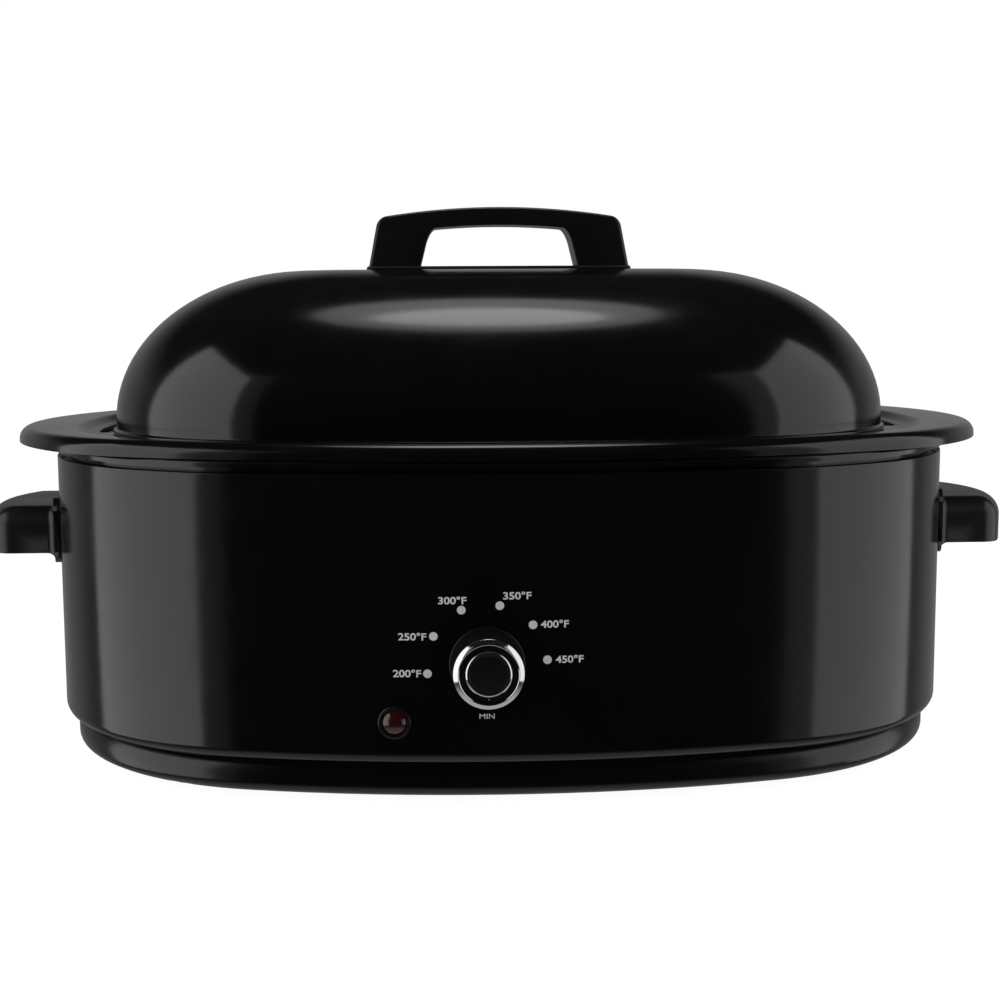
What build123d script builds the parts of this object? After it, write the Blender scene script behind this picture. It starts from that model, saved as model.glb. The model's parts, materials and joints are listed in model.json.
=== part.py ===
from build123d import *
import os
from math import cos, pi, sin, sqrt

# Electric roaster oven: a countertop cooker with a lift-off domed lid, a removable
# cookwell, a heated liner inside a sheet-steel body, and a dial and pilot lamp in front.
# Millimetres, +Z up, front towards -Y, origin on the worktop under the body's centre.

os.makedirs("parts", exist_ok=True)

# ---------------------------------------------------------------- driving dimensions
# Plan oval, shared by every nested shell
corner_share_x = 0.90
corner_share_y = 0.75
corner_blend_share = 0.80

# Body shell
body_half_length = 258.0
body_half_width = 189.0
body_top_z = 169.0
seam_z = 21.5
shell_wall = 0.7
shell_curl_radius = 6.5
shell_lip = 8.0

# Base pan and feet
base_z = 3.0
base_wall = 1.4
base_radius = 6.0
base_lip_height = 4.0
foot_radius = 11.0
foot_chamfer = 1.1
foot_stem_radius = 3.2
foot_inset_x = 86.5
foot_inset_y = 77.5
foot_head_radius = 4.6
foot_head_height = 2.2
pan_vent_length = 46.0
pan_vent_width = 4.0
pan_vent_pitch = 12.0
pan_vent_count = 7

# Liner, its flange and what is wrapped around it
liner_wall = 0.7
liner_inset = 26.0
liner_bottom_z = 26.0
liner_corner_radius = 2.4
liner_lip = 12.0
flange_thickness = 1.2
flange_overhang = 0.5
flange_lip = 3.2
flange_neck_inset = 6.5
flange_rise = 6.0
tie_boss_radius = 6.5
tie_inset_x = 112.0
tie_inset_y = 101.0
tie_screw_radius = 2.0
tie_head_radius = 4.0
tie_head_height = 2.4
band_thickness = 3.0
band_low_z = 66.0
band_high_z = 118.0
band_gap = 84.0
strap_thickness = 0.8
strap_width = 9.0
strap_z = 104.0
strap_ear = 9.0
tension_rod_radius = 1.6
tension_nut_radius = 3.2
tension_nut_length = 3.0
wool_clearance = 4.3
wool_thickness = 11.0
wool_low_z = 62.0
wool_high_z = 162.0

# Cookwell with its wide rim
rim_reach_x = 25.0
rim_reach_y = 2.0
rim_corner_inset_x = 46.0
rim_corner_inset_y = 47.5
rim_corner_blend = 95.0
rim_top_z = 184.0
rim_skirt = 8.5
rim_roll_radius = 7.0
well_wall = 1.0
gutter_inset = 16.0
gutter_depth = 4.5
gutter_flare = 5.0
well_gap_x = 15.0
well_gap_y = 15.5
well_bottom_z = 30.5
well_corner_radius = 24.0
well_draft = 3.0
slot_length = 74.0
slot_width = 9.0
slot_inset = 9.5
slot_bow_radius = 190.0

# Lid
lid_overhang = 8.5
lid_wall = 0.9
lid_lip_height = 7.0
lid_dome_height = 85.5
lid_crown_half_width = 45.0
lid_bead = 1.8
lid_bead_height = 2.6
dome_stations = 7

# Lid handle
grip_foot_half = 77.0
grip_top_half = 71.5
grip_corner_height = 28.5
grip_crown_height = 34.5
grip_corner_radius = 5.0
grip_depth = 30.0
grip_gap_foot_half = 46.5
grip_gap_top_half = 41.0
grip_gap_height = 22.0
grip_gap_crown = 24.0
grip_gap_radius = 9.0
grip_bevel = 4.2
grip_edge_radius = 2.0
grip_base_thickness = 2.4
grip_base_margin = 1.5
grip_screw_x = 61.0
grip_screw_radius = 2.0
grip_screw_length = 14.0
grip_screw_head_radius = 4.2
grip_screw_head_height = 2.2
grip_washer_radius = 7.0
grip_washer_thickness = 1.0

# Side handles
handle_reach = 47.0
handle_bow = 14.0
handle_half_width = 48.5
handle_low_z = 111.0
handle_high_z = 137.5
handle_top_radius = 12.0
handle_corner_radius = 12.0
handle_wall = 3.6
handle_root = 15.0
pad_margin = 5.5
pad_thickness = 3.6
pad_radius = 7.0
pad_blend_radius = 4.5
handle_screw_y = 32.0
handle_screw_radius = 2.0
handle_screw_length = 14.0
handle_screw_head_radius = 4.0
handle_screw_head_height = 2.4

# Dial, knob and thermostat
dial_x = -15.0
dial_z = 74.0
dial_disc_radius = 19.0
dial_disc_thickness = 1.8
knob_gap = 0.4
knob_length = 22.5
knob_skirt_radius = 18.0
knob_ring_radius = 17.5
knob_edge = 2.0
knob_ring_inner_radius = 14.6
knob_ring_depth = 3.6
knob_hub_ring_radius = 11.5
knob_cap_radius = 9.6
knob_face_depth = 2.5
knob_cap_sink = 0.5
knob_index_width = 2.4
knob_index_reach = 1.3
shaft_radius = 3.0
shaft_clearance = 0.06
shaft_hole_clearance = 1.5
shaft_in_knob = 14.0
shaft_in_thermostat = 8.0
thermostat_height = 26.0
thermostat_thickness = 11.0
bracket_size = 40.0
bracket_thickness = 1.0
bracket_standoff = 1.4
tab_width = 5.0
tab_length = 7.0
tab_thickness = 0.8
tab_spacing = 8.0
pin_radius = 1.5
pin_spacing = 26.0
pin_head_radius = 2.4
pin_head_height = 1.2
sensor_width = 8.0
sensor_thickness = 0.8
sensor_rise = 12.0
sensor_z_offset = 9.0

# Pilot lamp
lamp_x = -61.5
lamp_z = 44.3
lamp_bezel_radius = 8.4
lamp_bezel_thickness = 2.4
lamp_bezel_edge = 0.8
lamp_lens_radius = 6.4
lamp_lens_rise = 3.8
lamp_barrel_radius = 5.6
lamp_barrel_wall = 0.8
lamp_barrel_length = 9.0
lamp_bulb_radius = 3.6
lamp_nut_radius = 7.4
lamp_nut_thickness = 1.4

# Mains inlet and inner wiring
gland_z = 45.0
gland_radius = 9.0
gland_shank_radius = 7.0
gland_bore_radius = 3.6
gland_flange = 3.0
gland_inner_length = 8.0
block_length = 36.0
block_width = 20.0
block_height = 11.0
block_inset = 69.0
block_screw_radius = 2.4
block_screw_rise = 1.0
lead_radius = 1.3
lead_bend = 8.0
lead_small_bend = 3.0
lead_drop = 14.0
fuse_radius = 3.0
fuse_length = 24.0
fuse_offset = 19.2
fuse_z = 136.0
fuse_clip_wall = 0.8
fuse_clip_width = 9.0
fuse_clip_foot = 6.0

# Wire rack
rack_gap_x = 23.0
rack_gap_y = 29.5
rack_wire_radius = 2.5
rack_bar_radius = 1.6
rack_weld = 0.4
rack_bar_count = 11
rack_bar_pitch = 32.0
rack_foot_height = 16.0
rack_foot_x = 100.0
rack_bail_half = 34.0
rack_bail_height = 72.0
rack_bail_lean = 9.0
rack_bail_bend = 12.0

# Clearances
seat_gap = 0.3
bore_reach = 10.0
face_gap = 0.1
press_gap = 0.02

# ---------------------------------------------------------------- derived places
body_half = (body_half_length, body_half_width)
base_half = (body_half_length - shell_curl_radius, body_half_width - shell_curl_radius)
liner_half_length = body_half_length - liner_inset
liner_half_width = body_half_width - liner_inset
liner_half = (liner_half_length, liner_half_width)
well_half_length = liner_half_length - well_gap_x
well_half_width = liner_half_width - well_gap_y
well_half = (well_half_length, well_half_width)
well_foot_half = (well_half_length - well_draft, well_half_width - well_draft)
gutter_half_length = body_half_length - gutter_inset
gutter_half_width = body_half_width - gutter_inset
gutter_half = (gutter_half_length, gutter_half_width)
lid_half_length = well_half_length + lid_overhang
lid_half_width = well_half_width + lid_overhang
lid_half = (lid_half_length, lid_half_width)
lid_shoulder = lid_half_width - lid_crown_half_width
rim_half_length = body_half_length + rim_reach_x
rim_half_width = body_half_width + rim_reach_y
rim_corner_x = body_half_length - rim_corner_inset_x
rim_corner_y = body_half_width - rim_corner_inset_y
rack_half_length = well_half_length - rack_gap_x
rack_half_width = well_half_width - rack_gap_y
rack_half = (rack_half_length, rack_half_width)
slot_centre_x = gutter_half_length - slot_inset
foot_x = base_half[0] - foot_inset_x
foot_y = base_half[1] - foot_inset_y
tie_x = liner_half_length - tie_inset_x
tie_y = liner_half_width - tie_inset_y
block_y = body_half_width - block_inset
pan_floor_z = base_z + base_wall
flange_z = body_top_z + flange_rise - flange_thickness
gutter_z = rim_top_z - gutter_depth
liner_top_z = gutter_z - well_wall - seat_gap
skirt_low_z = rim_top_z - rim_skirt
lid_low_z = gutter_z + seat_gap
dome_low_z = lid_low_z + lid_lip_height
lid_top_z = dome_low_z + lid_dome_height
grip_z = lid_top_z + grip_base_thickness
front_y = -body_half_width
well_floor_z = well_bottom_z + well_wall
knob_back_y = front_y - dial_disc_thickness - knob_gap
knob_front_y = knob_back_y - knob_length
bracket_y = front_y + shell_wall + bracket_standoff
thermostat_y = bracket_y + bracket_thickness
handle_mid_z = (handle_low_z + handle_high_z) / 2
slot_end_x = slot_centre_x - slot_bow_radius + sqrt(slot_bow_radius**2 - (slot_length / 2) ** 2)


# ---------------------------------------------------------------- shared shapes
def blended_oval(z, half_length, half_width, corner_x, corner_y, blend):
    """Four bulged sides through their corner points, with the corners blended round."""
    with BuildSketch(Plane.XY.offset(z)) as plan:
        with BuildLine():
            for side in (1, -1):
                ThreePointArc(
                    (-corner_x, side * corner_y), (0, side * half_width), (corner_x, side * corner_y)
                )
                ThreePointArc(
                    (side * corner_x, -corner_y), (side * half_length, 0), (side * corner_x, corner_y)
                )
        make_face()
        fillet(plan.vertices(), blend)
    return plan.sketch


def oval(z, half_length, half_width):
    """The roaster's own plan oval at height z."""
    return blended_oval(
        z,
        half_length,
        half_width,
        corner_share_x * half_length,
        corner_share_y * half_width,
        corner_blend_share * half_width,
    )


def rim_outline(z):
    """Outline of the cookwell's rim, drawn out past the body into a wing at each end."""
    return blended_oval(
        z, rim_half_length, rim_half_width, rim_corner_x, rim_corner_y, rim_corner_blend
    )


def prism(low, high, half_length, half_width, mode=Mode.ADD):
    """Straight oval block between two heights, in the active part."""
    extrude(oval(low, half_length, half_width), amount=high - low, mode=mode)


def flared(low, high, low_half, high_half, mode=Mode.ADD):
    """Oval block that changes size evenly between two heights, in the active part."""
    loft(sections=[oval(low, *low_half), oval(high, *high_half)], ruled=True, mode=mode)


def oval_ring(low, high, outer, inner):
    """Oval ring in the active part, between two (half length, half width) pairs."""
    with BuildSketch(Plane.XY.offset(low)) as ring:
        add(oval(0, *outer))
        add(oval(0, *inner), mode=Mode.SUBTRACT)
    extrude(ring.sketch, amount=high - low)


def grown(half_sizes, margin):
    """A (half length, half width) pair moved outwards by a margin, or inwards if negative."""
    return (half_sizes[0] + margin, half_sizes[1] + margin)


def side_bulge_radius(half_length, half_width):
    """Radius of an oval's long front and back arcs."""
    chord = corner_share_x * half_length
    rise = half_width * (1 - corner_share_y)
    return (chord**2 + rise**2) / (2 * rise)


def side_y(half_length, half_width, x):
    """How far an oval's long side stands from its middle line at x."""
    radius = side_bulge_radius(half_length, half_width)
    return half_width - radius + sqrt(radius**2 - x**2)


def end_x(half_length, half_width, y):
    """How far an oval's end stands from its middle line at y."""
    return side_y_of_arc(half_length, corner_share_y * half_width, half_length * (1 - corner_share_x), y)


def side_y_of_arc(reach, chord, rise, across):
    """Reach of an arc of given half chord and rise, at a distance across from its crown."""
    radius = (chord**2 + rise**2) / (2 * rise)
    return reach - radius + sqrt(radius**2 - across**2)


def wall_plane(x, z, outward):
    """Plane lying on the body's front (-1) or back (+1) wall, its normal pointing out."""
    lean = x / side_bulge_radius(*body_half)
    normal = (lean, outward * sqrt(1 - lean**2), 0)
    return Plane(origin=(x, outward * side_y(*body_half, x), z), x_dir=(0, 0, 1), z_dir=normal)


def cylinder_from(plane, start, length, radius, mode=Mode.ADD):
    """Round bar along a plane's normal, from start to start + length, in the active part."""
    with BuildSketch(plane.offset(start)) as disc:
        Circle(radius)
    extrude(disc.sketch, amount=length, mode=mode)


def cross_pattern(x, y):
    """The four corner points of a rectangle, named by where they lie."""
    return {
        "front_left": (-x, -y),
        "front_right": (x, -y),
        "rear_left": (-x, y),
        "rear_right": (x, y),
    }


def save(piece, name):
    """Label a finished part and write its STEP file."""
    piece.part.label = name
    export_step(piece.part, f"parts/{name}.step")


def dome_sections(inset):
    """Ovals up the lid's dome, which turns over as a quarter ellipse; inset makes its lining."""
    sections = []
    for station in range(dome_stations + 1):
        turn = pi / 2 * station / dome_stations
        shrink = lid_shoulder * (1 - cos(turn)) + inset
        height = (lid_dome_height - inset) * sin(turn)
        sections.append(oval(dome_low_z + height, *grown(lid_half, -shrink)))
    return sections


dial_plane = Plane(origin=(dial_x, front_y, dial_z), x_dir=(1, 0, 0), z_dir=(0, -1, 0))
lamp_plane = wall_plane(lamp_x, lamp_z, -1)
gland_plane = wall_plane(0, gland_z, 1)
feet = cross_pattern(foot_x, foot_y)
ties = cross_pattern(tie_x, tie_y)

# ---------------------------------------------------------------- body shell
with BuildPart() as outer_shell:
    prism(seam_z, body_top_z, *body_half)
    fillet(outer_shell.faces().sort_by(Axis.Z)[0].edges(), shell_curl_radius)
    offset(amount=-shell_wall, openings=outer_shell.faces().sort_by(Axis.Z)[-1])
    prism(seam_z, seam_z + 2 * shell_wall, *grown(base_half, -shell_wall), Mode.SUBTRACT)
    oval_ring(
        body_top_z - shell_wall, body_top_z, grown(body_half, -shell_wall / 2), grown(body_half, -shell_lip)
    )
    cylinder_from(dial_plane, -bore_reach, 2 * bore_reach, shaft_radius + shaft_hole_clearance, Mode.SUBTRACT)
    cylinder_from(lamp_plane, -bore_reach, 2 * bore_reach, lamp_barrel_radius + face_gap, Mode.SUBTRACT)
    cylinder_from(gland_plane, -bore_reach, 2 * bore_reach, gland_shank_radius + face_gap, Mode.SUBTRACT)
    with BuildSketch(dial_plane.offset(-shell_curl_radius)):
        with GridLocations(pin_spacing, 0, 2, 1):
            Circle(pin_radius + face_gap)
    extrude(amount=2 * shell_curl_radius, mode=Mode.SUBTRACT)
    for y in (-handle_screw_y, handle_screw_y):
        with BuildSketch(Plane.YZ.offset(-body_half_length - shell_wall)):
            with Locations((y, handle_mid_z)):
                Circle(handle_screw_radius + face_gap)
        extrude(amount=2 * (body_half_length + shell_wall), mode=Mode.SUBTRACT)
save(outer_shell, "outer_shell")

# ---------------------------------------------------------------- base pan and feet
with BuildPart() as base_pan:
    prism(base_z, seam_z, *base_half)
    fillet(base_pan.faces().sort_by(Axis.Z)[0].edges(), base_radius)
    offset(amount=-base_wall, openings=base_pan.faces().sort_by(Axis.Z)[-1])
    lip_half = grown(base_half, -shell_wall - seat_gap)
    oval_ring(seam_z - base_wall, seam_z + base_lip_height, lip_half, grown(lip_half, -base_wall))
    with BuildSketch(Plane.XY.offset(pan_floor_z)):
        with Locations(*ties.values()):
            Circle(tie_boss_radius)
    extrude(amount=liner_bottom_z - pan_floor_z)
    with BuildSketch(Plane.XY.offset(base_z)):
        with Locations(*ties.values()):
            Circle(tie_screw_radius + face_gap)
        with Locations(*feet.values()):
            Circle(foot_stem_radius + press_gap)
        with Locations((0, block_y)):
            Circle(tie_screw_radius + press_gap)
        with GridLocations(0, pan_vent_pitch, 1, pan_vent_count):
            SlotOverall(pan_vent_length, pan_vent_width)
    extrude(amount=liner_bottom_z, mode=Mode.SUBTRACT)
save(base_pan, "base_pan")

for place, (x, y) in feet.items():
    with BuildPart() as foot:
        with BuildSketch(Plane.XY):
            with Locations((x, y)):
                Circle(foot_radius)
        extrude(amount=base_z)
        chamfer(foot.faces().sort_by(Axis.Z)[0].edges(), foot_chamfer)
        with BuildSketch(Plane.XY.offset(base_z)):
            with Locations((x, y)):
                Circle(foot_stem_radius)
        extrude(amount=base_wall + press_gap)
        with BuildSketch(Plane.XY.offset(pan_floor_z + press_gap)):
            with Locations((x, y)):
                Circle(foot_head_radius)
        extrude(amount=foot_head_height)
        fillet(foot.faces().sort_by(Axis.Z)[-1].edges(), foot_head_height / 3)
    save(foot, f"foot_{place}")

# ---------------------------------------------------------------- liner and its wrappings
with BuildPart() as liner:
    lip_z = liner_bottom_z - liner_wall
    prism(lip_z, liner_top_z, *liner_half)
    fillet(liner.faces().sort_by(Axis.Z)[0].edges(), liner_corner_radius)
    offset(amount=-liner_wall, openings=liner.faces().sort_by(Axis.Z)[-1])
    prism(lip_z, liner_bottom_z, *grown(liner_half, -liner_lip), Mode.SUBTRACT)
    flange_half = grown(body_half, flange_overhang)
    neck_half = grown(body_half, -flange_neck_inset)
    flange_top_z = flange_z + flange_thickness
    oval_ring(flange_z, flange_top_z, flange_half, grown(liner_half, -liner_wall / 2))
    oval_ring(flange_top_z - flange_lip, flange_top_z, flange_half, grown(flange_half, -flange_thickness))
    oval_ring(body_top_z, flange_top_z, neck_half, grown(neck_half, -flange_thickness))
save(liner, "liner")

# The floor plate drops onto the liner's turned-in foot, and the tie screws draw both down
with BuildPart() as liner_floor:
    floor_half = grown(liner_half, -liner_wall - seat_gap - liner_corner_radius)
    prism(liner_bottom_z, liner_bottom_z + liner_wall, *floor_half)
    with BuildSketch(Plane.XY.offset(liner_bottom_z)):
        with Locations(*ties.values()):
            Circle(tie_screw_radius + face_gap)
    extrude(amount=liner_wall, mode=Mode.SUBTRACT)
save(liner_floor, "liner_floor")

for place, (x, y) in ties.items():
    with BuildPart() as tie_screw:
        with BuildSketch(Plane.XY.offset(base_z + press_gap)):
            with Locations((x, y)):
                Circle(tie_screw_radius)
        extrude(amount=liner_bottom_z + liner_wall - base_z - press_gap)
        with BuildSketch(Plane.XY.offset(liner_bottom_z + liner_wall)):
            with Locations((x, y)):
                Circle(tie_head_radius)
        extrude(amount=tie_head_height)
        fillet(tie_screw.faces().sort_by(Axis.Z)[-1].edges(), tie_head_height / 2)
    save(tie_screw, f"tie_screw_{place}")

with BuildPart() as heater_band:
    band_half = grown(liner_half, face_gap)
    oval_ring(band_low_z, band_high_z, grown(band_half, band_thickness), band_half)
    with BuildSketch(Plane.XY.offset(band_low_z)):
        with Locations((dial_x, front_y)):
            Rectangle(band_gap, body_half_width)
    extrude(amount=band_high_z - band_low_z, mode=Mode.SUBTRACT)
save(heater_band, "heater_band")

with BuildPart() as heater_strap:
    strap_half = grown(band_half, band_thickness + face_gap)
    rod_y = -strap_half[1] - strap_ear / 2 - strap_thickness
    strap_low_z = strap_z - strap_width / 2
    oval_ring(strap_low_z, strap_low_z + strap_width, grown(strap_half, strap_thickness), strap_half)
    with BuildSketch(Plane.XY.offset(strap_low_z)):
        with Locations((dial_x, front_y)):
            Rectangle(band_gap, body_half_width)
    extrude(amount=strap_width, mode=Mode.SUBTRACT)
    for side in (-1, 1):
        ear_x = dial_x + side * (band_gap + strap_thickness) / 2
        ear_root_y = -side_y(*strap_half, ear_x)
        with BuildSketch(Plane.XY.offset(strap_low_z)):
            with Locations((ear_x, ear_root_y)):
                Rectangle(
                    strap_thickness, ear_root_y - rod_y + strap_ear / 2, align=(Align.CENTER, Align.MAX)
                )
        extrude(amount=strap_width)
    ear_plane = Plane.YZ.offset(dial_x - band_gap / 2 - strap_thickness)
    with BuildSketch(ear_plane):
        with Locations((rod_y, strap_z)):
            Circle(tension_rod_radius + face_gap)
    extrude(amount=band_gap + 2 * strap_thickness, mode=Mode.SUBTRACT)
save(heater_strap, "heater_strap")

with BuildPart() as tension_rod:
    rod_half = band_gap / 2 + strap_thickness + tension_nut_length
    with BuildSketch(Plane.YZ.offset(dial_x - rod_half)):
        with Locations((rod_y, strap_z)):
            Circle(tension_rod_radius)
    extrude(amount=2 * rod_half)
    for nut_x in (dial_x - rod_half, dial_x + rod_half - tension_nut_length):
        with BuildSketch(Plane.YZ.offset(nut_x)):
            with Locations((rod_y, strap_z)):
                RegularPolygon(tension_nut_radius, 6)
        extrude(amount=tension_nut_length)
save(tension_rod, "tension_rod")

with BuildPart() as insulation:
    wool_half = grown(liner_half, wool_clearance)
    oval_ring(wool_low_z, wool_high_z, grown(wool_half, wool_thickness), wool_half)
    with BuildSketch(Plane.XY.offset(wool_low_z)):
        with Locations((dial_x, front_y)):
            Rectangle(band_gap + 4 * strap_ear, body_half_width)
    extrude(amount=wool_high_z - wool_low_z, mode=Mode.SUBTRACT)
save(insulation, "insulation")

# ---------------------------------------------------------------- cookwell
with BuildPart() as rim_cap:
    extrude(rim_outline(skirt_low_z), amount=rim_skirt)
    fillet(rim_cap.faces().sort_by(Axis.Z)[-1].edges(), rim_roll_radius)
    offset(amount=-well_wall, openings=rim_cap.faces().sort_by(Axis.Z)[0])

with BuildPart() as well_hollow:
    flared(well_floor_z, gutter_z, well_foot_half, well_half)
    fillet(well_hollow.faces().sort_by(Axis.Z)[0].edges(), well_corner_radius)

with BuildPart() as cookwell:
    flared(well_bottom_z, gutter_z, grown(well_foot_half, well_wall), grown(well_half, well_wall))
    fillet(cookwell.faces().sort_by(Axis.Z)[0].edges(), well_corner_radius + well_wall)
    add(rim_cap.part)
    tray_low_z = gutter_z - well_wall
    tray_half = grown(gutter_half, well_wall)
    flared(tray_low_z, rim_top_z, tray_half, grown(tray_half, gutter_flare))
    flared(gutter_z, rim_top_z, gutter_half, grown(gutter_half, gutter_flare), Mode.SUBTRACT)
    add(well_hollow.part, mode=Mode.SUBTRACT)
    for side in (-1, 1):
        with BuildSketch(Plane.XY.offset(tray_low_z)):
            with BuildLine(mode=Mode.PRIVATE):
                slot_path = ThreePointArc(
                    (side * slot_end_x, -slot_length / 2),
                    (side * slot_centre_x, 0),
                    (side * slot_end_x, slot_length / 2),
                )
            SlotArc(slot_path, slot_width)
        extrude(amount=well_wall, mode=Mode.SUBTRACT)
save(cookwell, "cookwell")

# ---------------------------------------------------------------- lid
with BuildPart() as lid_shell:
    prism(lid_low_z, dome_low_z, *lid_half)
    prism(lid_low_z, lid_low_z + lid_bead_height, *grown(lid_half, lid_bead))
    loft(sections=dome_sections(0))
    prism(lid_low_z, dome_low_z, *grown(lid_half, -lid_wall), Mode.SUBTRACT)
    loft(sections=dome_sections(lid_wall), mode=Mode.SUBTRACT)
    with BuildSketch(Plane.XY.offset(lid_top_z - 2 * lid_wall)):
        with Locations((-grip_screw_x, 0), (grip_screw_x, 0)):
            Circle(grip_screw_radius + face_gap)
    extrude(amount=3 * lid_wall, mode=Mode.SUBTRACT)
save(lid_shell, "lid_shell")

with BuildPart() as lid_handle_base:
    with BuildSketch(Plane.XY.offset(lid_top_z)):
        RectangleRounded(
            2 * (grip_foot_half + grip_base_margin), grip_depth + 2 * grip_base_margin, grip_corner_radius
        )
    extrude(amount=grip_base_thickness)
    chamfer(lid_handle_base.faces().sort_by(Axis.Z)[-1].edges(), grip_base_thickness / 3)
    with BuildSketch(Plane.XY.offset(lid_top_z)):
        with Locations((-grip_screw_x, 0), (grip_screw_x, 0)):
            Circle(grip_screw_radius + face_gap)
    extrude(amount=grip_base_thickness, mode=Mode.SUBTRACT)
save(lid_handle_base, "lid_handle_base")

with BuildPart() as lid_handle:
    with BuildSketch(Plane.XZ.offset(-grip_depth / 2)) as arch:
        with BuildLine():
            left_top = (-grip_top_half, grip_z + grip_corner_height)
            right_top = (grip_top_half, grip_z + grip_corner_height)
            Polyline(left_top, (-grip_foot_half, grip_z), (grip_foot_half, grip_z), right_top)
            ThreePointArc(left_top, (0, grip_z + grip_crown_height), right_top)
        make_face()
        fillet(arch.vertices().sort_by(Axis.Y)[-2:], grip_corner_radius)
    extrude(amount=grip_depth)
    fillet(lid_handle.edges().filter_by(GeomType.CIRCLE).filter_by_position(
        Axis.Z, grip_z + 1, grip_z + grip_crown_height + 1), grip_edge_radius)
    with BuildSketch(Plane.XZ.offset(-grip_depth / 2)) as gap:
        with BuildLine():
            left_top = (-grip_gap_top_half, grip_z + grip_gap_height)
            right_top = (grip_gap_top_half, grip_z + grip_gap_height)
            Polyline(left_top, (-grip_gap_foot_half, grip_z), (grip_gap_foot_half, grip_z), right_top)
            ThreePointArc(left_top, (0, grip_z + grip_gap_crown), right_top)
        make_face()
        fillet(gap.vertices().sort_by(Axis.Y)[-2:], grip_gap_radius)
    extrude(amount=grip_depth, mode=Mode.SUBTRACT)
    low_edges = lid_handle.edges().filter_by_position(Axis.Z, grip_z + 1, grip_z + grip_gap_crown + 1)
    gap_edges = low_edges.filter_by_position(Axis.X, -grip_gap_foot_half, grip_gap_foot_half)
    chamfer(gap_edges.group_by(Axis.Y)[0] + gap_edges.group_by(Axis.Y)[-1], grip_bevel)
    with BuildSketch(Plane.XY.offset(grip_z)):
        with Locations((-grip_screw_x, 0), (grip_screw_x, 0)):
            Circle(grip_screw_radius + press_gap)
    extrude(amount=grip_screw_length, mode=Mode.SUBTRACT)
save(lid_handle, "lid_handle")

lid_screw_low_z = lid_top_z - lid_wall - grip_washer_thickness - face_gap
for place, x in (("left", -grip_screw_x), ("right", grip_screw_x)):
    with BuildPart() as lid_washer:
        with BuildSketch(Plane.XY.offset(lid_screw_low_z)):
            with Locations((x, 0)):
                Circle(grip_washer_radius)
                Circle(grip_screw_radius + face_gap, mode=Mode.SUBTRACT)
        extrude(amount=grip_washer_thickness)
    save(lid_washer, f"lid_washer_{place}")
    with BuildPart() as lid_screw:
        with BuildSketch(Plane.XY.offset(lid_screw_low_z - grip_screw_head_height)):
            with Locations((x, 0)):
                Circle(grip_screw_head_radius)
        extrude(amount=grip_screw_head_height)
        fillet(lid_screw.faces().sort_by(Axis.Z)[0].edges(), grip_screw_head_height / 2)
        with BuildSketch(Plane.XY.offset(lid_screw_low_z)):
            with Locations((x, 0)):
                Circle(grip_screw_radius)
        extrude(amount=grip_screw_length)
    save(lid_screw, f"lid_screw_{place}")

# ---------------------------------------------------------------- side handles
tip_x = body_half_length + handle_reach
root_x = body_half_length - handle_root
with BuildPart() as handle_pad:
    with BuildSketch(Plane.YZ.offset(root_x)):
        with Locations((0, handle_mid_z)):
            RectangleRounded(
                2 * (handle_half_width + pad_margin),
                handle_high_z - handle_low_z + 2 * pad_margin,
                pad_radius,
            )
    extrude(amount=tip_x - root_x)
    prism(seam_z, body_top_z, *grown(body_half, pad_thickness), Mode.INTERSECT)

with BuildPart() as side_handle_right:
    with BuildSketch(Plane.XY.offset(handle_low_z)) as grip_plan:
        with BuildLine():
            near = (tip_x - handle_bow, -handle_half_width)
            far = (tip_x - handle_bow, handle_half_width)
            Polyline(near, (root_x, -handle_half_width), (root_x, handle_half_width), far)
            ThreePointArc(near, (tip_x, 0), far)
        make_face()
        fillet(grip_plan.vertices().sort_by(Axis.X)[-2:], handle_corner_radius)
    extrude(amount=handle_high_z - handle_low_z)
    fillet(
        side_handle_right.faces().sort_by(Axis.Z)[-1].edges().filter_by(GeomType.CIRCLE), handle_top_radius
    )
    add(handle_pad.part)
    fillet(side_handle_right.edges(Select.NEW), pad_blend_radius)
    prism(seam_z, body_top_z, *grown(body_half, face_gap), Mode.SUBTRACT)
    with BuildSketch(Plane.XY.offset(handle_low_z)) as recess:
        with BuildLine():
            near = (tip_x - handle_bow - handle_wall, -handle_half_width + handle_wall)
            far = (tip_x - handle_bow - handle_wall, handle_half_width - handle_wall)
            recess_x = body_half_length + handle_screw_length
            Polyline(near, (recess_x, near[1]), (recess_x, far[1]), far)
            ThreePointArc(near, (tip_x - handle_wall, 0), far)
        make_face()
        fillet(recess.vertices().sort_by(Axis.X)[-2:], handle_corner_radius - handle_wall)
    extrude(amount=handle_high_z - handle_low_z - handle_wall, mode=Mode.SUBTRACT)
    with BuildSketch(Plane.YZ.offset(root_x)):
        with Locations((-handle_screw_y, handle_mid_z), (handle_screw_y, handle_mid_z)):
            Circle(handle_screw_radius + press_gap)
    extrude(amount=handle_root + handle_screw_length - handle_wall / 2, mode=Mode.SUBTRACT)
save(side_handle_right, "side_handle_right")

with BuildPart() as side_handle_left:
    mirror(side_handle_right.part, about=Plane.YZ)
save(side_handle_left, "side_handle_left")

screw_seat_x = end_x(*body_half, handle_screw_y + handle_screw_head_radius) - shell_wall - face_gap
for side_name, side in (("left", -1), ("right", 1)):
    for place, y in (("front", -handle_screw_y), ("rear", handle_screw_y)):
        screw_plane = Plane(origin=(side * screw_seat_x, y, handle_mid_z), z_dir=(side, 0, 0))
        with BuildPart() as handle_screw:
            cylinder_from(
                screw_plane, -handle_screw_head_height, handle_screw_head_height, handle_screw_head_radius
            )
            fillet(handle_screw.edges().sort_by(Axis.X)[0 if side > 0 else -1], handle_screw_head_height / 2)
            cylinder_from(screw_plane, 0, handle_screw_length, handle_screw_radius)
        save(handle_screw, f"handle_screw_{side_name}_{place}")

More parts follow.
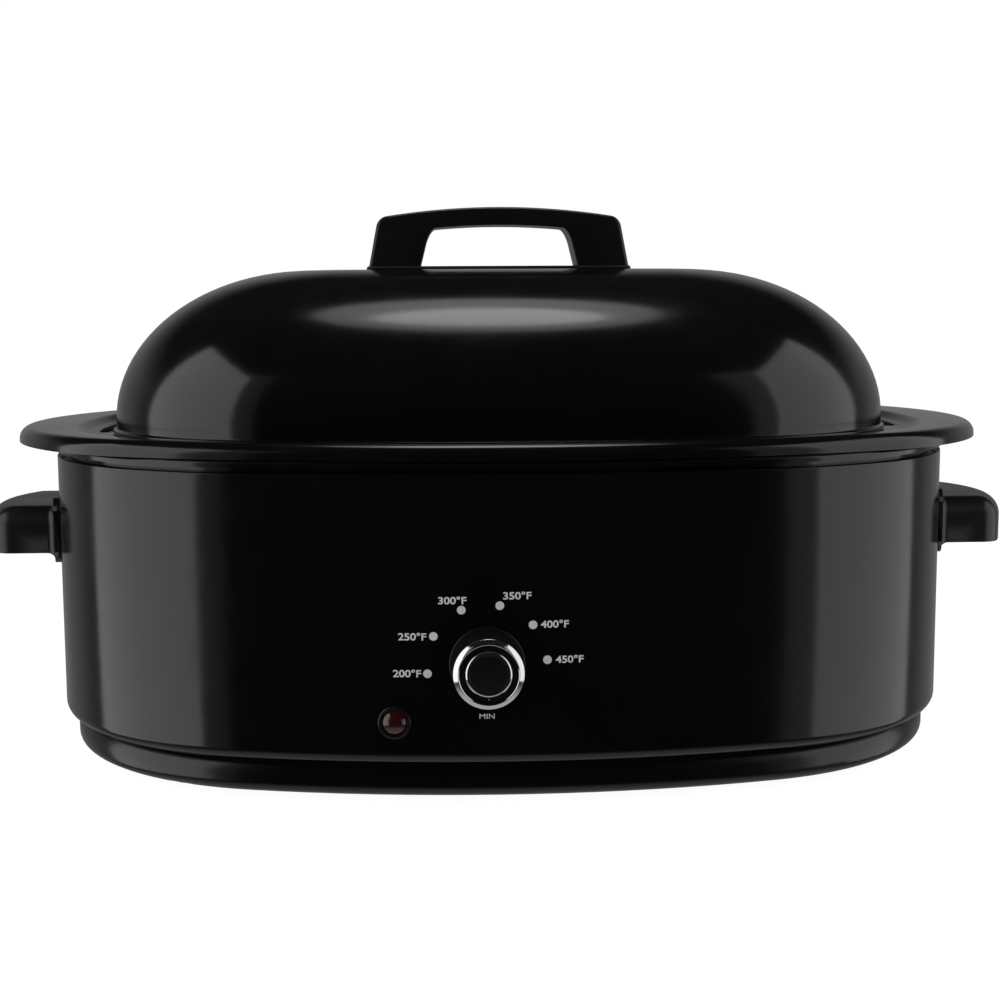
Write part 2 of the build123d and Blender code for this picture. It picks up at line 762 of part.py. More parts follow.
# ---------------------------------------------------------------- dial, knob and thermostat
pins = [(dial_x - pin_spacing / 2, dial_z), (dial_x + pin_spacing / 2, dial_z)]
bracket_plane = Plane(origin=(dial_x, bracket_y, dial_z), x_dir=(1, 0, 0), z_dir=(0, -1, 0))

with BuildPart() as dial_disc:
    cylinder_from(dial_plane, -dial_disc_thickness, 2 * dial_disc_thickness, dial_disc_radius)
    fillet(dial_disc.faces().sort_by(Axis.Y)[0].edges(), dial_disc_thickness / 3)
    prism(seam_z, body_top_z, *grown(body_half, face_gap), Mode.SUBTRACT)
    for side in (-1, 1):
        pin_plane = Plane(
            origin=(dial_x + side * pin_spacing / 2, thermostat_y + face_gap, dial_z), z_dir=(0, -1, 0)
        )
        cylinder_from(pin_plane, 0, thermostat_y - front_y + dial_disc_thickness, pin_radius)
        cylinder_from(pin_plane, -pin_head_height, pin_head_height, pin_head_radius)
    cylinder_from(
        dial_plane, -dial_disc_radius, 2 * dial_disc_radius, shaft_radius + shaft_hole_clearance, Mode.SUBTRACT
    )
save(dial_disc, "dial_disc")

with BuildPart() as thermostat_bracket:
    with BuildSketch(bracket_plane):
        RectangleRounded(bracket_size, bracket_size - 2 * pin_head_radius, pin_head_radius)
    extrude(amount=-bracket_thickness)
    for side in (-1, 1):
        with BuildSketch(bracket_plane):
            with Locations((side * pin_spacing / 2, 0)):
                Circle(pin_head_radius)
        extrude(amount=bracket_standoff)
    with BuildSketch(bracket_plane.offset(bracket_standoff)):
        with Locations((-pin_spacing / 2, 0), (pin_spacing / 2, 0)):
            Circle(pin_radius + press_gap)
        Circle(shaft_radius + shaft_hole_clearance)
    extrude(amount=-bracket_standoff - bracket_thickness, mode=Mode.SUBTRACT)
    prism(seam_z, body_top_z, *grown(body_half, -shell_wall - face_gap), Mode.INTERSECT)
save(thermostat_bracket, "thermostat_bracket")

with BuildPart() as thermostat_body:
    thermostat_plane = Plane(origin=(dial_x, thermostat_y, dial_z), x_dir=(1, 0, 0), z_dir=(0, 1, 0))
    with BuildSketch(thermostat_plane):
        Rectangle(pin_spacing - 2 * pin_head_radius - 2 * face_gap, thermostat_height)
    extrude(amount=thermostat_thickness)
    fillet(thermostat_body.edges().filter_by(Axis.Y), tab_thickness)
    tab_y = thermostat_y + thermostat_thickness - tab_width / 2
    live_x = dial_x - tab_spacing / 2
    for tab_x, end, direction in ((live_x, -thermostat_height / 2, -1), (dial_x, thermostat_height / 2, 1)):
        with BuildSketch(Plane.XY.offset(dial_z + end)):
            with Locations((tab_x, tab_y)):
                Rectangle(tab_thickness, tab_width - 1)
        extrude(amount=direction * tab_length)
    cylinder_from(
        thermostat_plane, 0, shaft_in_thermostat + face_gap, shaft_radius + shaft_clearance, Mode.SUBTRACT
    )
save(thermostat_body, "thermostat_body")

with BuildPart() as thermostat_sensor:
    sensor_y = -side_y(*liner_half, dial_x) - face_gap
    sensor_start_y = thermostat_y + thermostat_thickness
    sensor_z = dial_z + sensor_z_offset
    with BuildSketch(Plane.YZ.offset(dial_x - sensor_width / 2)):
        with BuildLine():
            Polyline(
                (sensor_start_y, sensor_z),
                (sensor_y, sensor_z),
                (sensor_y, sensor_z + sensor_rise),
                (sensor_y - sensor_thickness, sensor_z + sensor_rise),
                (sensor_y - sensor_thickness, sensor_z + sensor_thickness),
                (sensor_start_y, sensor_z + sensor_thickness),
                close=True,
            )
        make_face()
    extrude(amount=sensor_width)
save(thermostat_sensor, "thermostat_sensor")

knob_axis = Axis((dial_x, 0, dial_z), (0, 1, 0))
knob_plane = Plane(origin=(dial_x, knob_back_y, dial_z), x_dir=(1, 0, 0), z_dir=(0, 0, -1))
face_depth = knob_length - knob_face_depth
ring_seat = knob_length - knob_ring_depth


def turned(*outline):
    """Revolve a closed (radius, depth) outline about the knob's axis, in the active part."""
    with BuildSketch(knob_plane) as section:
        with BuildLine() as line:
            Polyline(*outline, close=True)
        make_face(line.line)
    revolve(section.sketch, axis=knob_axis)


with BuildPart() as knob_body:
    turned(
        (0, 0),
        (knob_skirt_radius, 0),
        (knob_skirt_radius, knob_edge),
        (knob_ring_radius - knob_cap_sink, ring_seat),
        (knob_ring_inner_radius - press_gap, ring_seat),
        (knob_ring_inner_radius - press_gap, face_depth),
        (0, face_depth),
    )
    knob_back = Plane(origin=(dial_x, knob_back_y, dial_z), x_dir=(1, 0, 0), z_dir=(0, -1, 0))
    cylinder_from(knob_back, 0, shaft_in_knob + face_gap, shaft_radius + press_gap, Mode.SUBTRACT)
save(knob_body, "knob_body")

with BuildPart() as knob_outer_ring:
    ring_bevel = (knob_ring_radius - knob_ring_inner_radius) / 3
    turned(
        (knob_ring_inner_radius, ring_seat),
        (knob_ring_radius, ring_seat),
        (knob_ring_radius, knob_length - ring_bevel),
        (knob_ring_radius - ring_bevel, knob_length),
        (knob_ring_inner_radius + ring_bevel, knob_length),
        (knob_ring_inner_radius, knob_length - ring_bevel),
    )
save(knob_outer_ring, "knob_outer_ring")

with BuildPart() as knob_inner_ring:
    hub_bevel = (knob_hub_ring_radius - knob_cap_radius) / 3
    turned(
        (knob_cap_radius, face_depth),
        (knob_hub_ring_radius, face_depth),
        (knob_hub_ring_radius, knob_length - 2 * hub_bevel),
        (knob_hub_ring_radius - hub_bevel, knob_length - hub_bevel),
        (knob_cap_radius, knob_length - hub_bevel),
    )
    index_z = -knob_hub_ring_radius + hub_bevel
    with BuildSketch(knob_back.offset(face_depth)):
        with BuildLine():
            Polyline(
                (-knob_index_width / 2, index_z),
                (0, -knob_hub_ring_radius - knob_index_reach),
                (knob_index_width / 2, index_z),
                close=True,
            )
        make_face()
    extrude(amount=knob_face_depth - 2 * hub_bevel)
save(knob_inner_ring, "knob_inner_ring")

with BuildPart() as knob_cap:
    turned(
        (0, face_depth),
        (knob_cap_radius - press_gap, face_depth),
        (knob_cap_radius - press_gap, knob_length - knob_cap_sink - hub_bevel),
        (knob_cap_radius - hub_bevel, knob_length - knob_cap_sink),
        (0, knob_length - knob_cap_sink),
    )
save(knob_cap, "knob_cap")

with BuildPart() as thermostat_shaft:
    shaft_start = thermostat_y + shaft_in_thermostat
    shaft_length = shaft_start - knob_back_y + shaft_in_knob
    cylinder_from(knob_back, knob_back_y - shaft_start, shaft_length, shaft_radius)
save(thermostat_shaft, "thermostat_shaft")

# ---------------------------------------------------------------- pilot lamp
collar_depth = lamp_barrel_length + face_gap
with BuildPart() as lamp_bezel:
    cylinder_from(lamp_plane, -lamp_bezel_thickness, 2 * lamp_bezel_thickness, lamp_bezel_radius)
    fillet(lamp_bezel.faces().sort_by(Axis.Y)[0].edges(), lamp_bezel_edge)
    prism(base_z, body_top_z, *grown(body_half, face_gap), Mode.SUBTRACT)
    cylinder_from(lamp_plane, -lamp_barrel_length, lamp_barrel_length + lamp_bezel_edge, lamp_barrel_radius)
    bore_radius = lamp_barrel_radius - lamp_barrel_wall
    cylinder_from(lamp_plane, -lamp_barrel_length, 2 * lamp_barrel_length, bore_radius, Mode.SUBTRACT)
    cylinder_from(
        lamp_plane, lamp_bezel_thickness / 2, lamp_bezel_thickness, lamp_lens_radius + press_gap, Mode.SUBTRACT
    )
save(lamp_bezel, "lamp_bezel")

with BuildPart() as lamp_lens:
    lens_start = lamp_bezel_thickness / 2
    lens_plane = Plane(
        origin=lamp_plane.origin, x_dir=lamp_plane.x_dir, z_dir=lamp_plane.x_dir.cross(lamp_plane.z_dir)
    )
    with BuildSketch(lens_plane) as section:
        with BuildLine() as outline:
            crown = ThreePointArc(
                (0, lens_start + lamp_lens_rise),
                (lamp_lens_radius * sin(pi / 6), lens_start + 0.8 * lamp_lens_rise),
                (lamp_lens_radius, lamp_bezel_thickness - lamp_bezel_edge),
            )
            Polyline(crown @ 1, (lamp_lens_radius, lens_start), (0, lens_start), crown @ 0)
        make_face()
    revolve(axis=Axis(lamp_plane.origin, lamp_plane.z_dir))
save(lamp_lens, "lamp_lens")

with BuildPart() as lamp_bulb:
    cylinder_from(lamp_plane, -collar_depth - lamp_bezel_thickness, lamp_bezel_thickness, lamp_barrel_radius)
    cylinder_from(lamp_plane, -collar_depth, lamp_barrel_length, lamp_bulb_radius)
    fillet(lamp_bulb.faces().sort_by(Axis.Y)[0].edges(), lamp_bulb_radius * 0.8)
save(lamp_bulb, "lamp_bulb")

with BuildPart() as lamp_nut:
    nut_seat = -shell_wall - 2 * face_gap - lamp_nut_thickness
    cylinder_from(lamp_plane, nut_seat, lamp_nut_thickness, lamp_nut_radius)
    cylinder_from(
        lamp_plane, -lamp_barrel_length, lamp_barrel_length, lamp_barrel_radius + press_gap, Mode.SUBTRACT
    )
save(lamp_nut, "lamp_nut")

# ---------------------------------------------------------------- mains inlet, terminal block and fuse
with BuildPart() as cord_gland:
    cylinder_from(gland_plane, -gland_flange, 2 * gland_flange, gland_radius)
    fillet(cord_gland.faces().sort_by(Axis.Y)[-1].edges(), gland_flange / 3)
    prism(base_z, body_top_z, *grown(body_half, face_gap), Mode.SUBTRACT)
    cylinder_from(gland_plane, -gland_inner_length, gland_inner_length + face_gap, gland_shank_radius)
    cylinder_from(gland_plane, -gland_inner_length, 2 * gland_inner_length, gland_bore_radius, Mode.SUBTRACT)
save(cord_gland, "cord_gland")

with BuildPart() as gland_nut:
    with BuildSketch(gland_plane.offset(-shell_wall - 2 * face_gap)):
        RegularPolygon(gland_radius, 6)
        Circle(gland_shank_radius + press_gap, mode=Mode.SUBTRACT)
    extrude(amount=-gland_flange)
save(gland_nut, "gland_nut")

with BuildPart() as terminal_block:
    block_z = pan_floor_z + face_gap
    block_top = Plane.XY.offset(block_z + block_height)
    with BuildSketch(Plane.XY.offset(block_z)):
        with Locations((0, block_y)):
            RectangleRounded(block_length, block_width, block_screw_rise)
    extrude(amount=block_height)
    with BuildSketch(block_top):
        with Locations((0, block_y)):
            with GridLocations(2 * block_length / 3, block_width / 2, 2, 2):
                Circle(block_screw_radius)
    extrude(amount=block_screw_rise)
    with BuildSketch(block_top):
        with Locations((0, block_y)):
            with GridLocations(block_length / 3, 0, 2, 1):
                Rectangle(block_screw_rise, block_width)
            Circle(tie_screw_radius + press_gap)
    extrude(amount=-block_height / 2, mode=Mode.SUBTRACT)
    with BuildSketch(Plane.XY.offset(block_z)):
        with Locations((0, block_y)):
            Circle(tie_screw_radius + press_gap)
    extrude(amount=block_height, mode=Mode.SUBTRACT)
save(terminal_block, "terminal_block")

with BuildPart() as block_screw:
    with BuildSketch(Plane.XY.offset(base_z + press_gap)):
        with Locations((0, block_y)):
            Circle(tie_screw_radius)
    extrude(amount=block_height + pan_floor_z - base_z + 2 * face_gap - press_gap)
    with BuildSketch(Plane.XY.offset(pan_floor_z + block_height + 2 * face_gap)):
        with Locations((0, block_y)):
            Circle(tie_screw_radius + block_screw_rise)
    extrude(amount=tie_head_height)
    fillet(block_screw.faces().sort_by(Axis.Z)[-1].edges(), tie_head_height / 3)
save(block_screw, "block_screw")

fuse_x = dial_x + fuse_offset
fuse_y = -liner_half_width - fuse_radius - face_gap
with BuildPart() as thermal_fuse:
    with BuildSketch(Plane.YZ.offset(fuse_x - fuse_length / 2)):
        with Locations((fuse_y, fuse_z)):
            Circle(fuse_radius)
    extrude(amount=fuse_length)
    fillet(thermal_fuse.edges(), fuse_radius / 3)
save(thermal_fuse, "thermal_fuse")

with BuildPart() as fuse_clip:
    clip_radius = fuse_radius + face_gap + fuse_clip_wall
    with BuildSketch(Plane.YZ.offset(fuse_x - fuse_clip_width / 2)):
        with Locations((fuse_y, fuse_z)):
            Circle(clip_radius)
        with Locations((fuse_y + fuse_radius, fuse_z)):
            Rectangle(
                fuse_clip_wall, 2 * (clip_radius + fuse_clip_foot), align=(Align.MAX, Align.CENTER)
            )
        with Locations((fuse_y + fuse_radius, fuse_z)):
            Rectangle(2 * clip_radius, 2 * clip_radius, align=(Align.MIN, Align.CENTER), mode=Mode.SUBTRACT)
        with Locations((fuse_y, fuse_z)):
            Circle(fuse_radius + face_gap, mode=Mode.SUBTRACT)
            Rectangle(
                2 * clip_radius, 2 * (fuse_radius + face_gap), align=(Align.MIN, Align.CENTER), mode=Mode.SUBTRACT
            )
    extrude(amount=fuse_clip_width)
save(fuse_clip, "fuse_clip")

# ---------------------------------------------------------------- inner wiring
def lead(name, bend, *points):
    """Round insulated wire along straight runs joined by equal bends."""
    with BuildPart() as wire:
        with BuildLine() as path:
            if len(points) > 2:
                FilletPolyline(*points, radius=bend)
            else:
                Line(*points)
        with BuildSketch(Plane(origin=path.line @ 0, z_dir=path.line % 0)):
            Circle(lead_radius)
        sweep()
    save(wire, name)


wire_z = block_z + block_height / 2 - lead_radius
block_front_y = block_y - block_width / 2 - seat_gap
pole_pitch = block_length / 3
tab_low_z = dial_z - thermostat_height / 2 - tab_length - face_gap
tab_high_z = dial_z + thermostat_height / 2 + tab_length + face_gap
neutral_x = dial_x - band_gap / 2 + lead_bend
band_end_y = -side_y(*liner_half, neutral_x) - lead_radius - seat_gap
lead(
    "lead_live",
    lead_bend,
    (pole_pitch, block_front_y, wire_z),
    (live_x, tab_y, wire_z),
    (live_x, tab_y, tab_low_z),
)
lead(
    "lead_neutral",
    lead_small_bend,
    (2 * lead_radius - pole_pitch, block_front_y, wire_z),
    (neutral_x, band_end_y, wire_z),
    (neutral_x, band_end_y, band_high_z - lead_drop),
    (dial_x - band_gap / 2 + face_gap, band_end_y, band_high_z - lead_drop),
)
lead(
    "lead_fuse",
    lead_small_bend,
    (dial_x, tab_y, tab_high_z),
    (dial_x, tab_y, fuse_z),
    (dial_x, fuse_y, fuse_z),
    (fuse_x - fuse_length / 2 - face_gap, fuse_y, fuse_z),
)
lead(
    "lead_element",
    lead_small_bend,
    (fuse_x + fuse_length / 2 + face_gap, fuse_y, fuse_z),
    (fuse_x + fuse_length / 2 + 2 * lead_small_bend, fuse_y, fuse_z),
    (fuse_x + fuse_length / 2 + 2 * lead_small_bend, fuse_y, band_high_z - lead_drop),
    (dial_x + band_gap / 2 - face_gap, fuse_y, band_high_z - lead_drop),
)
lamp_rear = lamp_plane.origin - lamp_plane.z_dir * (collar_depth + lamp_bezel_thickness + seat_gap)
lamp_turn_y = lamp_rear.Y + lead_bend
lead(
    "lamp_lead_neutral",
    lead_small_bend,
    (lamp_x, lamp_rear.Y, lamp_z - 2 * lead_radius),
    (lamp_x, lamp_turn_y, lamp_z - 2 * lead_radius),
    (lamp_x, lamp_turn_y, wire_z),
    (-pole_pitch, block_front_y, wire_z),
)
lead(
    "lamp_lead_switched",
    lead_small_bend,
    (lamp_x, lamp_rear.Y, lamp_z + 2 * lead_radius),
    (lamp_x, lamp_turn_y, lamp_z + 2 * lead_radius),
    (lamp_x, lamp_turn_y, tab_high_z - tab_length / 2),
    (lamp_x, tab_y, tab_high_z - tab_length / 2),
    (dial_x - tab_thickness / 2 - face_gap, tab_y, tab_high_z - tab_length / 2),
)

# ---------------------------------------------------------------- wire rack
rack_z = well_floor_z + seat_gap + rack_foot_height
foot_end_z = well_floor_z + seat_gap + rack_wire_radius


def bent_wire(radius, bend, *points):
    """Add a round wire along straight runs joined by equal bends to the active part."""
    with BuildLine() as path:
        FilletPolyline(*points, radius=bend)
    with BuildSketch(Plane(origin=path.line @ 0, z_dir=path.line % 0)) as wire_end:
        Circle(radius)
    sweep(wire_end.sketch, path=path.line)


with BuildPart() as wire_rack:
    bar_span = rack_bar_pitch * (rack_bar_count - 1) / 2
    with BuildSketch(Plane.XZ.offset(-rack_half_width)):
        with Locations((0, rack_z)):
            with GridLocations(rack_bar_pitch, 0, rack_bar_count, 1):
                Circle(rack_bar_radius)
    extrude(amount=2 * rack_half_width)
    prism(well_floor_z, rim_top_z, *grown(rack_half, rack_weld), Mode.INTERSECT)
    frame_path = oval(rack_z, *rack_half).wires()[0]
    with BuildSketch(Plane(origin=frame_path @ 0, z_dir=frame_path % 0)):
        Circle(rack_wire_radius)
    sweep(path=frame_path)
    for side in (-1, 1):
        for leg_x in (-rack_foot_x, rack_foot_x):
            leg_y = side * side_y(*rack_half, leg_x)
            bent_wire(
                rack_wire_radius,
                rack_bail_bend / 2,
                (leg_x - rack_bail_bend, leg_y, rack_z),
                (leg_x - rack_bail_bend, leg_y, foot_end_z),
                (leg_x + rack_bail_bend, leg_y, foot_end_z),
                (leg_x + rack_bail_bend, leg_y, rack_z),
            )
        bail_x = side * end_x(*rack_half, rack_bail_half)
        bail_top_x = bail_x + side * rack_bail_lean
        bent_wire(
            rack_wire_radius,
            rack_bail_bend,
            (bail_x, -rack_bail_half, rack_z),
            (bail_top_x, -rack_bail_half, rack_z + rack_bail_height),
            (bail_top_x, rack_bail_half, rack_z + rack_bail_height),
            (bail_x, rack_bail_half, rack_z),
        )
save(wire_rack, "wire_rack")
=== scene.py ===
"""Electric roaster oven: modelled shells, handles, knob, lamp and scale print, with their finishes."""

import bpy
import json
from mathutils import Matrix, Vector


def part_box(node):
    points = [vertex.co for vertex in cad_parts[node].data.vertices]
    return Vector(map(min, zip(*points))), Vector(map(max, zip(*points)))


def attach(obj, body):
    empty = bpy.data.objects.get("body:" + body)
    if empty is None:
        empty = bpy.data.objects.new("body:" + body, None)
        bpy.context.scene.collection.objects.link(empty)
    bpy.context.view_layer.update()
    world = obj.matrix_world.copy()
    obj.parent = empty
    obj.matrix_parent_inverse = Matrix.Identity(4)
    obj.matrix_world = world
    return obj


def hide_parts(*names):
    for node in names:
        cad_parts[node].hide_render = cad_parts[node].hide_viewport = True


bl_info = {
    "name": "Electric roaster oven",
    "version": (1, 0, 0),
    "blender": (4, 5, 0),
    "location": "View3D > Sidebar > Roaster",
    "description": "Builds the enamelled shells, handles, knob, lamp and finishes of a roaster oven",
    "category": "Add Mesh",
}

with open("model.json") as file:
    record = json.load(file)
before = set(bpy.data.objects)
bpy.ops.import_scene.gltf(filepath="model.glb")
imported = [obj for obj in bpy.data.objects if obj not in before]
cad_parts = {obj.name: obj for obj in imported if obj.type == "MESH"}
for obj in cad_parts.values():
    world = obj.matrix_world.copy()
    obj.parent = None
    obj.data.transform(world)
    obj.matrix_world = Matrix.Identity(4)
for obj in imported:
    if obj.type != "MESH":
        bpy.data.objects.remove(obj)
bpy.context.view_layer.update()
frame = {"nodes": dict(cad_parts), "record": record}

import json
from math import atan2, cos, pi, radians, sin, sqrt

import bmesh
import bpy
from bpy.props import FloatProperty, FloatVectorProperty, IntProperty, PointerProperty
from mathutils import Matrix, Vector
from mathutils.geometry import intersect_sphere_sphere_2d

MM = 0.001
# Points closer than this are one point, and faces closer than this lie in one plane
TOUCH = 1e-6
# Steps round half an end, a corner and a side; the rim shares its vertices out to face the gutter
OVAL_STEPS = (13, 22, 44)
RIM_STEPS = (24, 5, 56)
# Turns what is made along +Z to point out of the front
FORWARD = Matrix.Rotation(radians(90), 4, "X")


def length(name, description, default, subtype="DISTANCE"):
    """A size that a user may change, in metres."""
    return FloatProperty(
        name=name, description=description, default=default * MM, subtype=subtype, unit="LENGTH"
    )


def share(name, description, default):
    """A plain factor between nought and one."""
    return FloatProperty(
        name=name, description=description, default=default, min=0.0, max=1.0, subtype="FACTOR"
    )


def turn(name, description, degrees):
    """An angle that a user may change."""
    return FloatProperty(
        name=name, description=description, default=radians(degrees), subtype="ANGLE", unit="ROTATION"
    )


def colour(name, description, default):
    """A linear colour."""
    return FloatVectorProperty(
        name=name, description=description, default=default, size=3, min=0.0, max=1.0, subtype="COLOR"
    )


# ---------------------------------------------------------------- settings
class ShellSettings(bpy.types.PropertyGroup):
    """Sizes of the pressed and enamelled sheet pieces."""

    body_half_length: length("Body half length", "Middle to the end wall of the body", 258.0)
    body_half_width: length("Body half width", "Middle to the front wall of the body", 189.0)
    body_top: length("Body top", "Height of the body shell's upper edge", 169.0)
    seam: length("Seam height", "Height of the seam between shell and base", 21.5)
    curl: length("Curl radius", "Radius of the shell's curled lower edge", 6.5)
    sheet: length("Body sheet", "Thickness of the body's sheet steel", 0.7)
    body_lip: length("Body lip", "How far the body's upper edge is turned in", 8.0)
    fold: length("Fold", "Radius of the sharp folds in the body and lid", 0.6)
    seat_gap: length("Seat gap", "Space between the liner's top and the cookwell", 0.3)
    liner_inset: length("Liner inset", "Space from the body wall to the liner wall", 26.0)
    liner_low: length("Liner foot height", "Height of the liner's floor", 26.0)
    liner_foot: length("Liner foot", "How far the liner's foot is turned in", 12.0)
    liner_round: length("Liner rounding", "Radius of the fold at the liner's foot", 2.4)
    flange_plate: length("Flange sheet", "Thickness of the liner's flange", 1.2)
    flange_lip: length("Flange lip", "Height of the flange's turned-down lip", 3.2)
    flange_rise: length("Flange rise", "Height of the flange above the body shell", 6.0)
    flange_out: length("Flange overhang", "How far the flange stands out past the body", 0.5)
    flange_neck: length("Flange neck", "Space from the body wall to the flange's neck", 6.5)
    rim_half_length: length("Rim half length", "Middle to the tip of a rim wing", 283.0)
    rim_half_width: length("Rim half width", "Middle to the front of the rim", 191.0)
    rim_corner_x: length("Rim corner across", "Where side and end arcs meet, along the length", 212.0)
    rim_corner_y: length("Rim corner along", "Where side and end arcs meet, across the width", 141.5)
    rim_blend: length("Rim corner rounding", "Radius that blends the rim's corners", 95.0)
    rim_top: length("Rim top", "Height of the rim's flat", 184.0)
    rim_low: length("Rim lip", "Height of the rolled lip's lower edge", 175.5)
    rim_roll: length("Rim roll", "Radius of the rolled lip", 7.0)
    gutter: length("Gutter height", "Height of the channel that the lid lies in", 179.5)
    gutter_half_length: length("Gutter half length", "Middle to the outer end of the channel", 242.0)
    gutter_half_width: length("Gutter half width", "Middle to the outer side of the channel", 173.0)
    gutter_flare: length("Gutter flare", "How far the channel's outer wall leans out", 5.0)
    mouth_round: length("Mouth rounding", "Radius where the well turns into the channel", 2.2)
    channel_round: length("Channel rounding", "Radius at the foot of the channel's wall", 2.6)
    brim_round: length("Brim rounding", "Radius where the channel's wall meets the rim", 1.6)
    well_half_length: length("Well half length", "Middle to the well's end wall", 217.0)
    well_half_width: length("Well half width", "Middle to the well's side wall", 147.5)
    well_floor: length("Well floor", "Height of the cookwell's floor", 31.5)
    well_round: length("Well rounding", "Radius between the well's wall and floor", 24.0)
    well_draft: length("Well draft", "How far the well narrows to its floor", 3.0)
    well_sheet: length("Well sheet", "Thickness of the cookwell's sheet steel", 1.0)
    slot_length: length("Slot length", "Length of the slot in each wing", 74.0)
    slot_width: length("Slot width", "Width of the slot in each wing", 9.0)
    slot_centre: length("Slot place", "Middle of the part to the middle of a slot", 232.5)
    slot_bow: length("Slot bow", "Radius that each slot is curved to", 190.0)
    lid_half_length: length("Lid half length", "Middle to the end of the lid", 225.5)
    lid_half_width: length("Lid half width", "Middle to the front of the lid", 156.0)
    lid_low: length("Lid edge height", "Underside of the lid's edge", 179.8)
    lid_spring: length("Dome start", "Height where the dome starts to turn over", 186.8)
    lid_rise: length("Dome rise", "Height of the dome above its start", 85.5)
    lid_shoulder: length("Dome shoulder", "How far in the dome has turned over when it is flat", 111.0)
    lid_bead: length("Lid bead", "How far the lid's edge bead stands out", 1.8)
    lid_bead_height: length("Bead height", "Height of the lid's edge bead", 2.6)
    lid_bead_round: length("Bead rounding", "Radius of the lid's edge bead", 1.1)
    lid_sheet: length("Lid sheet", "Thickness of the lid's sheet steel", 0.9)


class FittingSettings(bpy.types.PropertyGroup):
    """Sizes of the handles, knob, lamp and print."""

    grip_foot: length("Grip foot", "Half width of the lid handle at its base plate", 77.0)
    grip_top: length("Grip top", "Half width of the lid handle at its upper corners", 71.5)
    grip_shoulder: length("Grip shoulder", "Height of the lid handle's upper corners", 28.5)
    grip_crown: length("Grip crown", "Height of the lid handle at its middle", 34.5)
    grip_round: length("Grip rounding", "Radius of the lid handle's upper corners", 5.0)
    grip_depth: length("Grip depth", "Front to back size of the lid handle", 30.0)
    gap_foot: length("Gap foot", "Half width of the finger gap at its foot", 46.5)
    gap_top: length("Gap top", "Half width of the finger gap at its top", 41.0)
    gap_shoulder: length("Gap shoulder", "Height of the finger gap's upper corners", 22.0)
    gap_crown: length("Gap crown", "Height of the finger gap at its middle", 24.0)
    gap_round: length("Gap rounding", "Radius of the finger gap's upper corners", 9.0)
    gap_bevel: length("Gap bevel", "Width of the bevel round the finger gap", 4.2)
    grip_edge: length("Grip edge", "Radius of the lid handle's outer edges", 2.2)
    dial_x: length("Dial across", "Dial centre from the middle of the front", -15.0)
    dial_z: length("Dial height", "Height of the dial centre", 74.0)
    dial_radius: length("Dial disc radius", "Radius of the thin disc behind the knob", 19.0)
    dial_thickness: length("Dial disc thickness", "Thickness of the thin disc behind the knob", 1.8)
    knob_gap: length("Knob gap", "Running gap between knob and disc", 0.4)
    knob_length: length("Knob length", "How far the knob stands out from the disc", 22.5)
    knob_skirt: length("Knob foot radius", "Radius of the knob at its foot", 18.0)
    ring_outer: length("Ring radius", "Outer radius of the knob's bright ring", 17.5)
    ring_inner: length("Ring inner radius", "Inner radius of the knob's bright ring", 14.6)
    ring_depth: length("Ring depth", "How deep the bright ring reaches", 3.6)
    ring_slope: length("Ring slope", "How far the bright ring's face falls to its outer edge", 2.1)
    hub_radius: length("Hub ring radius", "Outer radius of the inner bright ring", 11.5)
    cap_radius: length("Cap radius", "Radius of the dark cap in the middle", 9.6)
    face_depth: length("Face depth", "How far the knob's face is sunk", 2.5)
    lamp_x: length("Lamp across", "Lamp centre from the middle of the front", -61.5)
    lamp_z: length("Lamp height", "Height of the lamp centre", 44.3)
    bezel_radius: length("Bezel radius", "Outer radius of the lamp's collar", 8.4)
    bezel_thickness: length("Bezel thickness", "How far the lamp's collar stands out", 2.4)
    lens_radius: length("Lens radius", "Radius of the lamp's lens", 6.4)
    lens_rise: length("Lens rise", "How far the lens bulges from its seat", 3.8)
    dot_circle: length("Dot circle", "Radius of the circle that the scale's dots lie on", 30.2)
    dot_size: length("Dot size", "Diameter of a scale dot", 4.35)
    numeral_height: length("Numeral height", "Height of the scale's numerals", 3.95)
    numeral_width: length("Numeral width", "Width of one of the scale's labels", 14.1)
    numeral_weight: FloatProperty(
        name="Numeral weight", description="Thickening of the print's strokes", default=0.022, min=0.0
    )
    word_height: length("Small word height", "Height of the small word under the knob", 2.6)
    word_width: length("Small word width", "Width of the small word, before its size is taken", 7.7)
    print_lift: length("Print thickness", "How far the print stands off the enamel", 0.08)


class FinishSettings(bpy.types.PropertyGroup):
    """Colours and gloss of the finishes."""

    enamel: colour("Enamel", "Colour of the gloss enamel", (0.0022, 0.0022, 0.0026))
    plastic: colour("Plastic", "Colour of the handles and knob", (0.0045, 0.0045, 0.0048))
    matt_plastic: colour("Matt plastic", "Colour of the plain small mouldings", (0.006, 0.006, 0.006))
    lens: colour("Lens", "Colour of the lamp's lens", (0.055, 0.006, 0.008))
    ink: colour("Scale print", "Colour of the printed scale", (0.82, 0.83, 0.84))
    enamel_gloss: share("Enamel roughness", "Roughness of the gloss enamel", 0.13)
    plastic_gloss: share("Plastic roughness", "Roughness of the handles", 0.3)


class StageSettings(bpy.types.PropertyGroup):
    """Camera, lamps and floor."""

    camera_place: FloatVectorProperty(
        name="Camera place", description="Where the camera stands", default=(-0.0431, -0.9656, 0.2520),
        subtype="XYZ",
    )
    camera_yaw: turn("Camera yaw", "Turn towards the right", 2.575)
    camera_pitch: turn("Camera pitch", "Look down", 7.012)
    camera_roll: turn("Camera roll", "Lean", -0.295)
    lens: FloatProperty(
        name="Lens", description="Focal length in millimetres", default=57.24, min=1.0, unit="CAMERA"
    )
    mirrored_level: FloatProperty(
        name="Mirrored background", description="Level of the background as gloss, metal and glass see it",
        default=0.01, min=0.0,
    )


GROUPS = (ShellSettings, FittingSettings, FinishSettings, StageSettings)


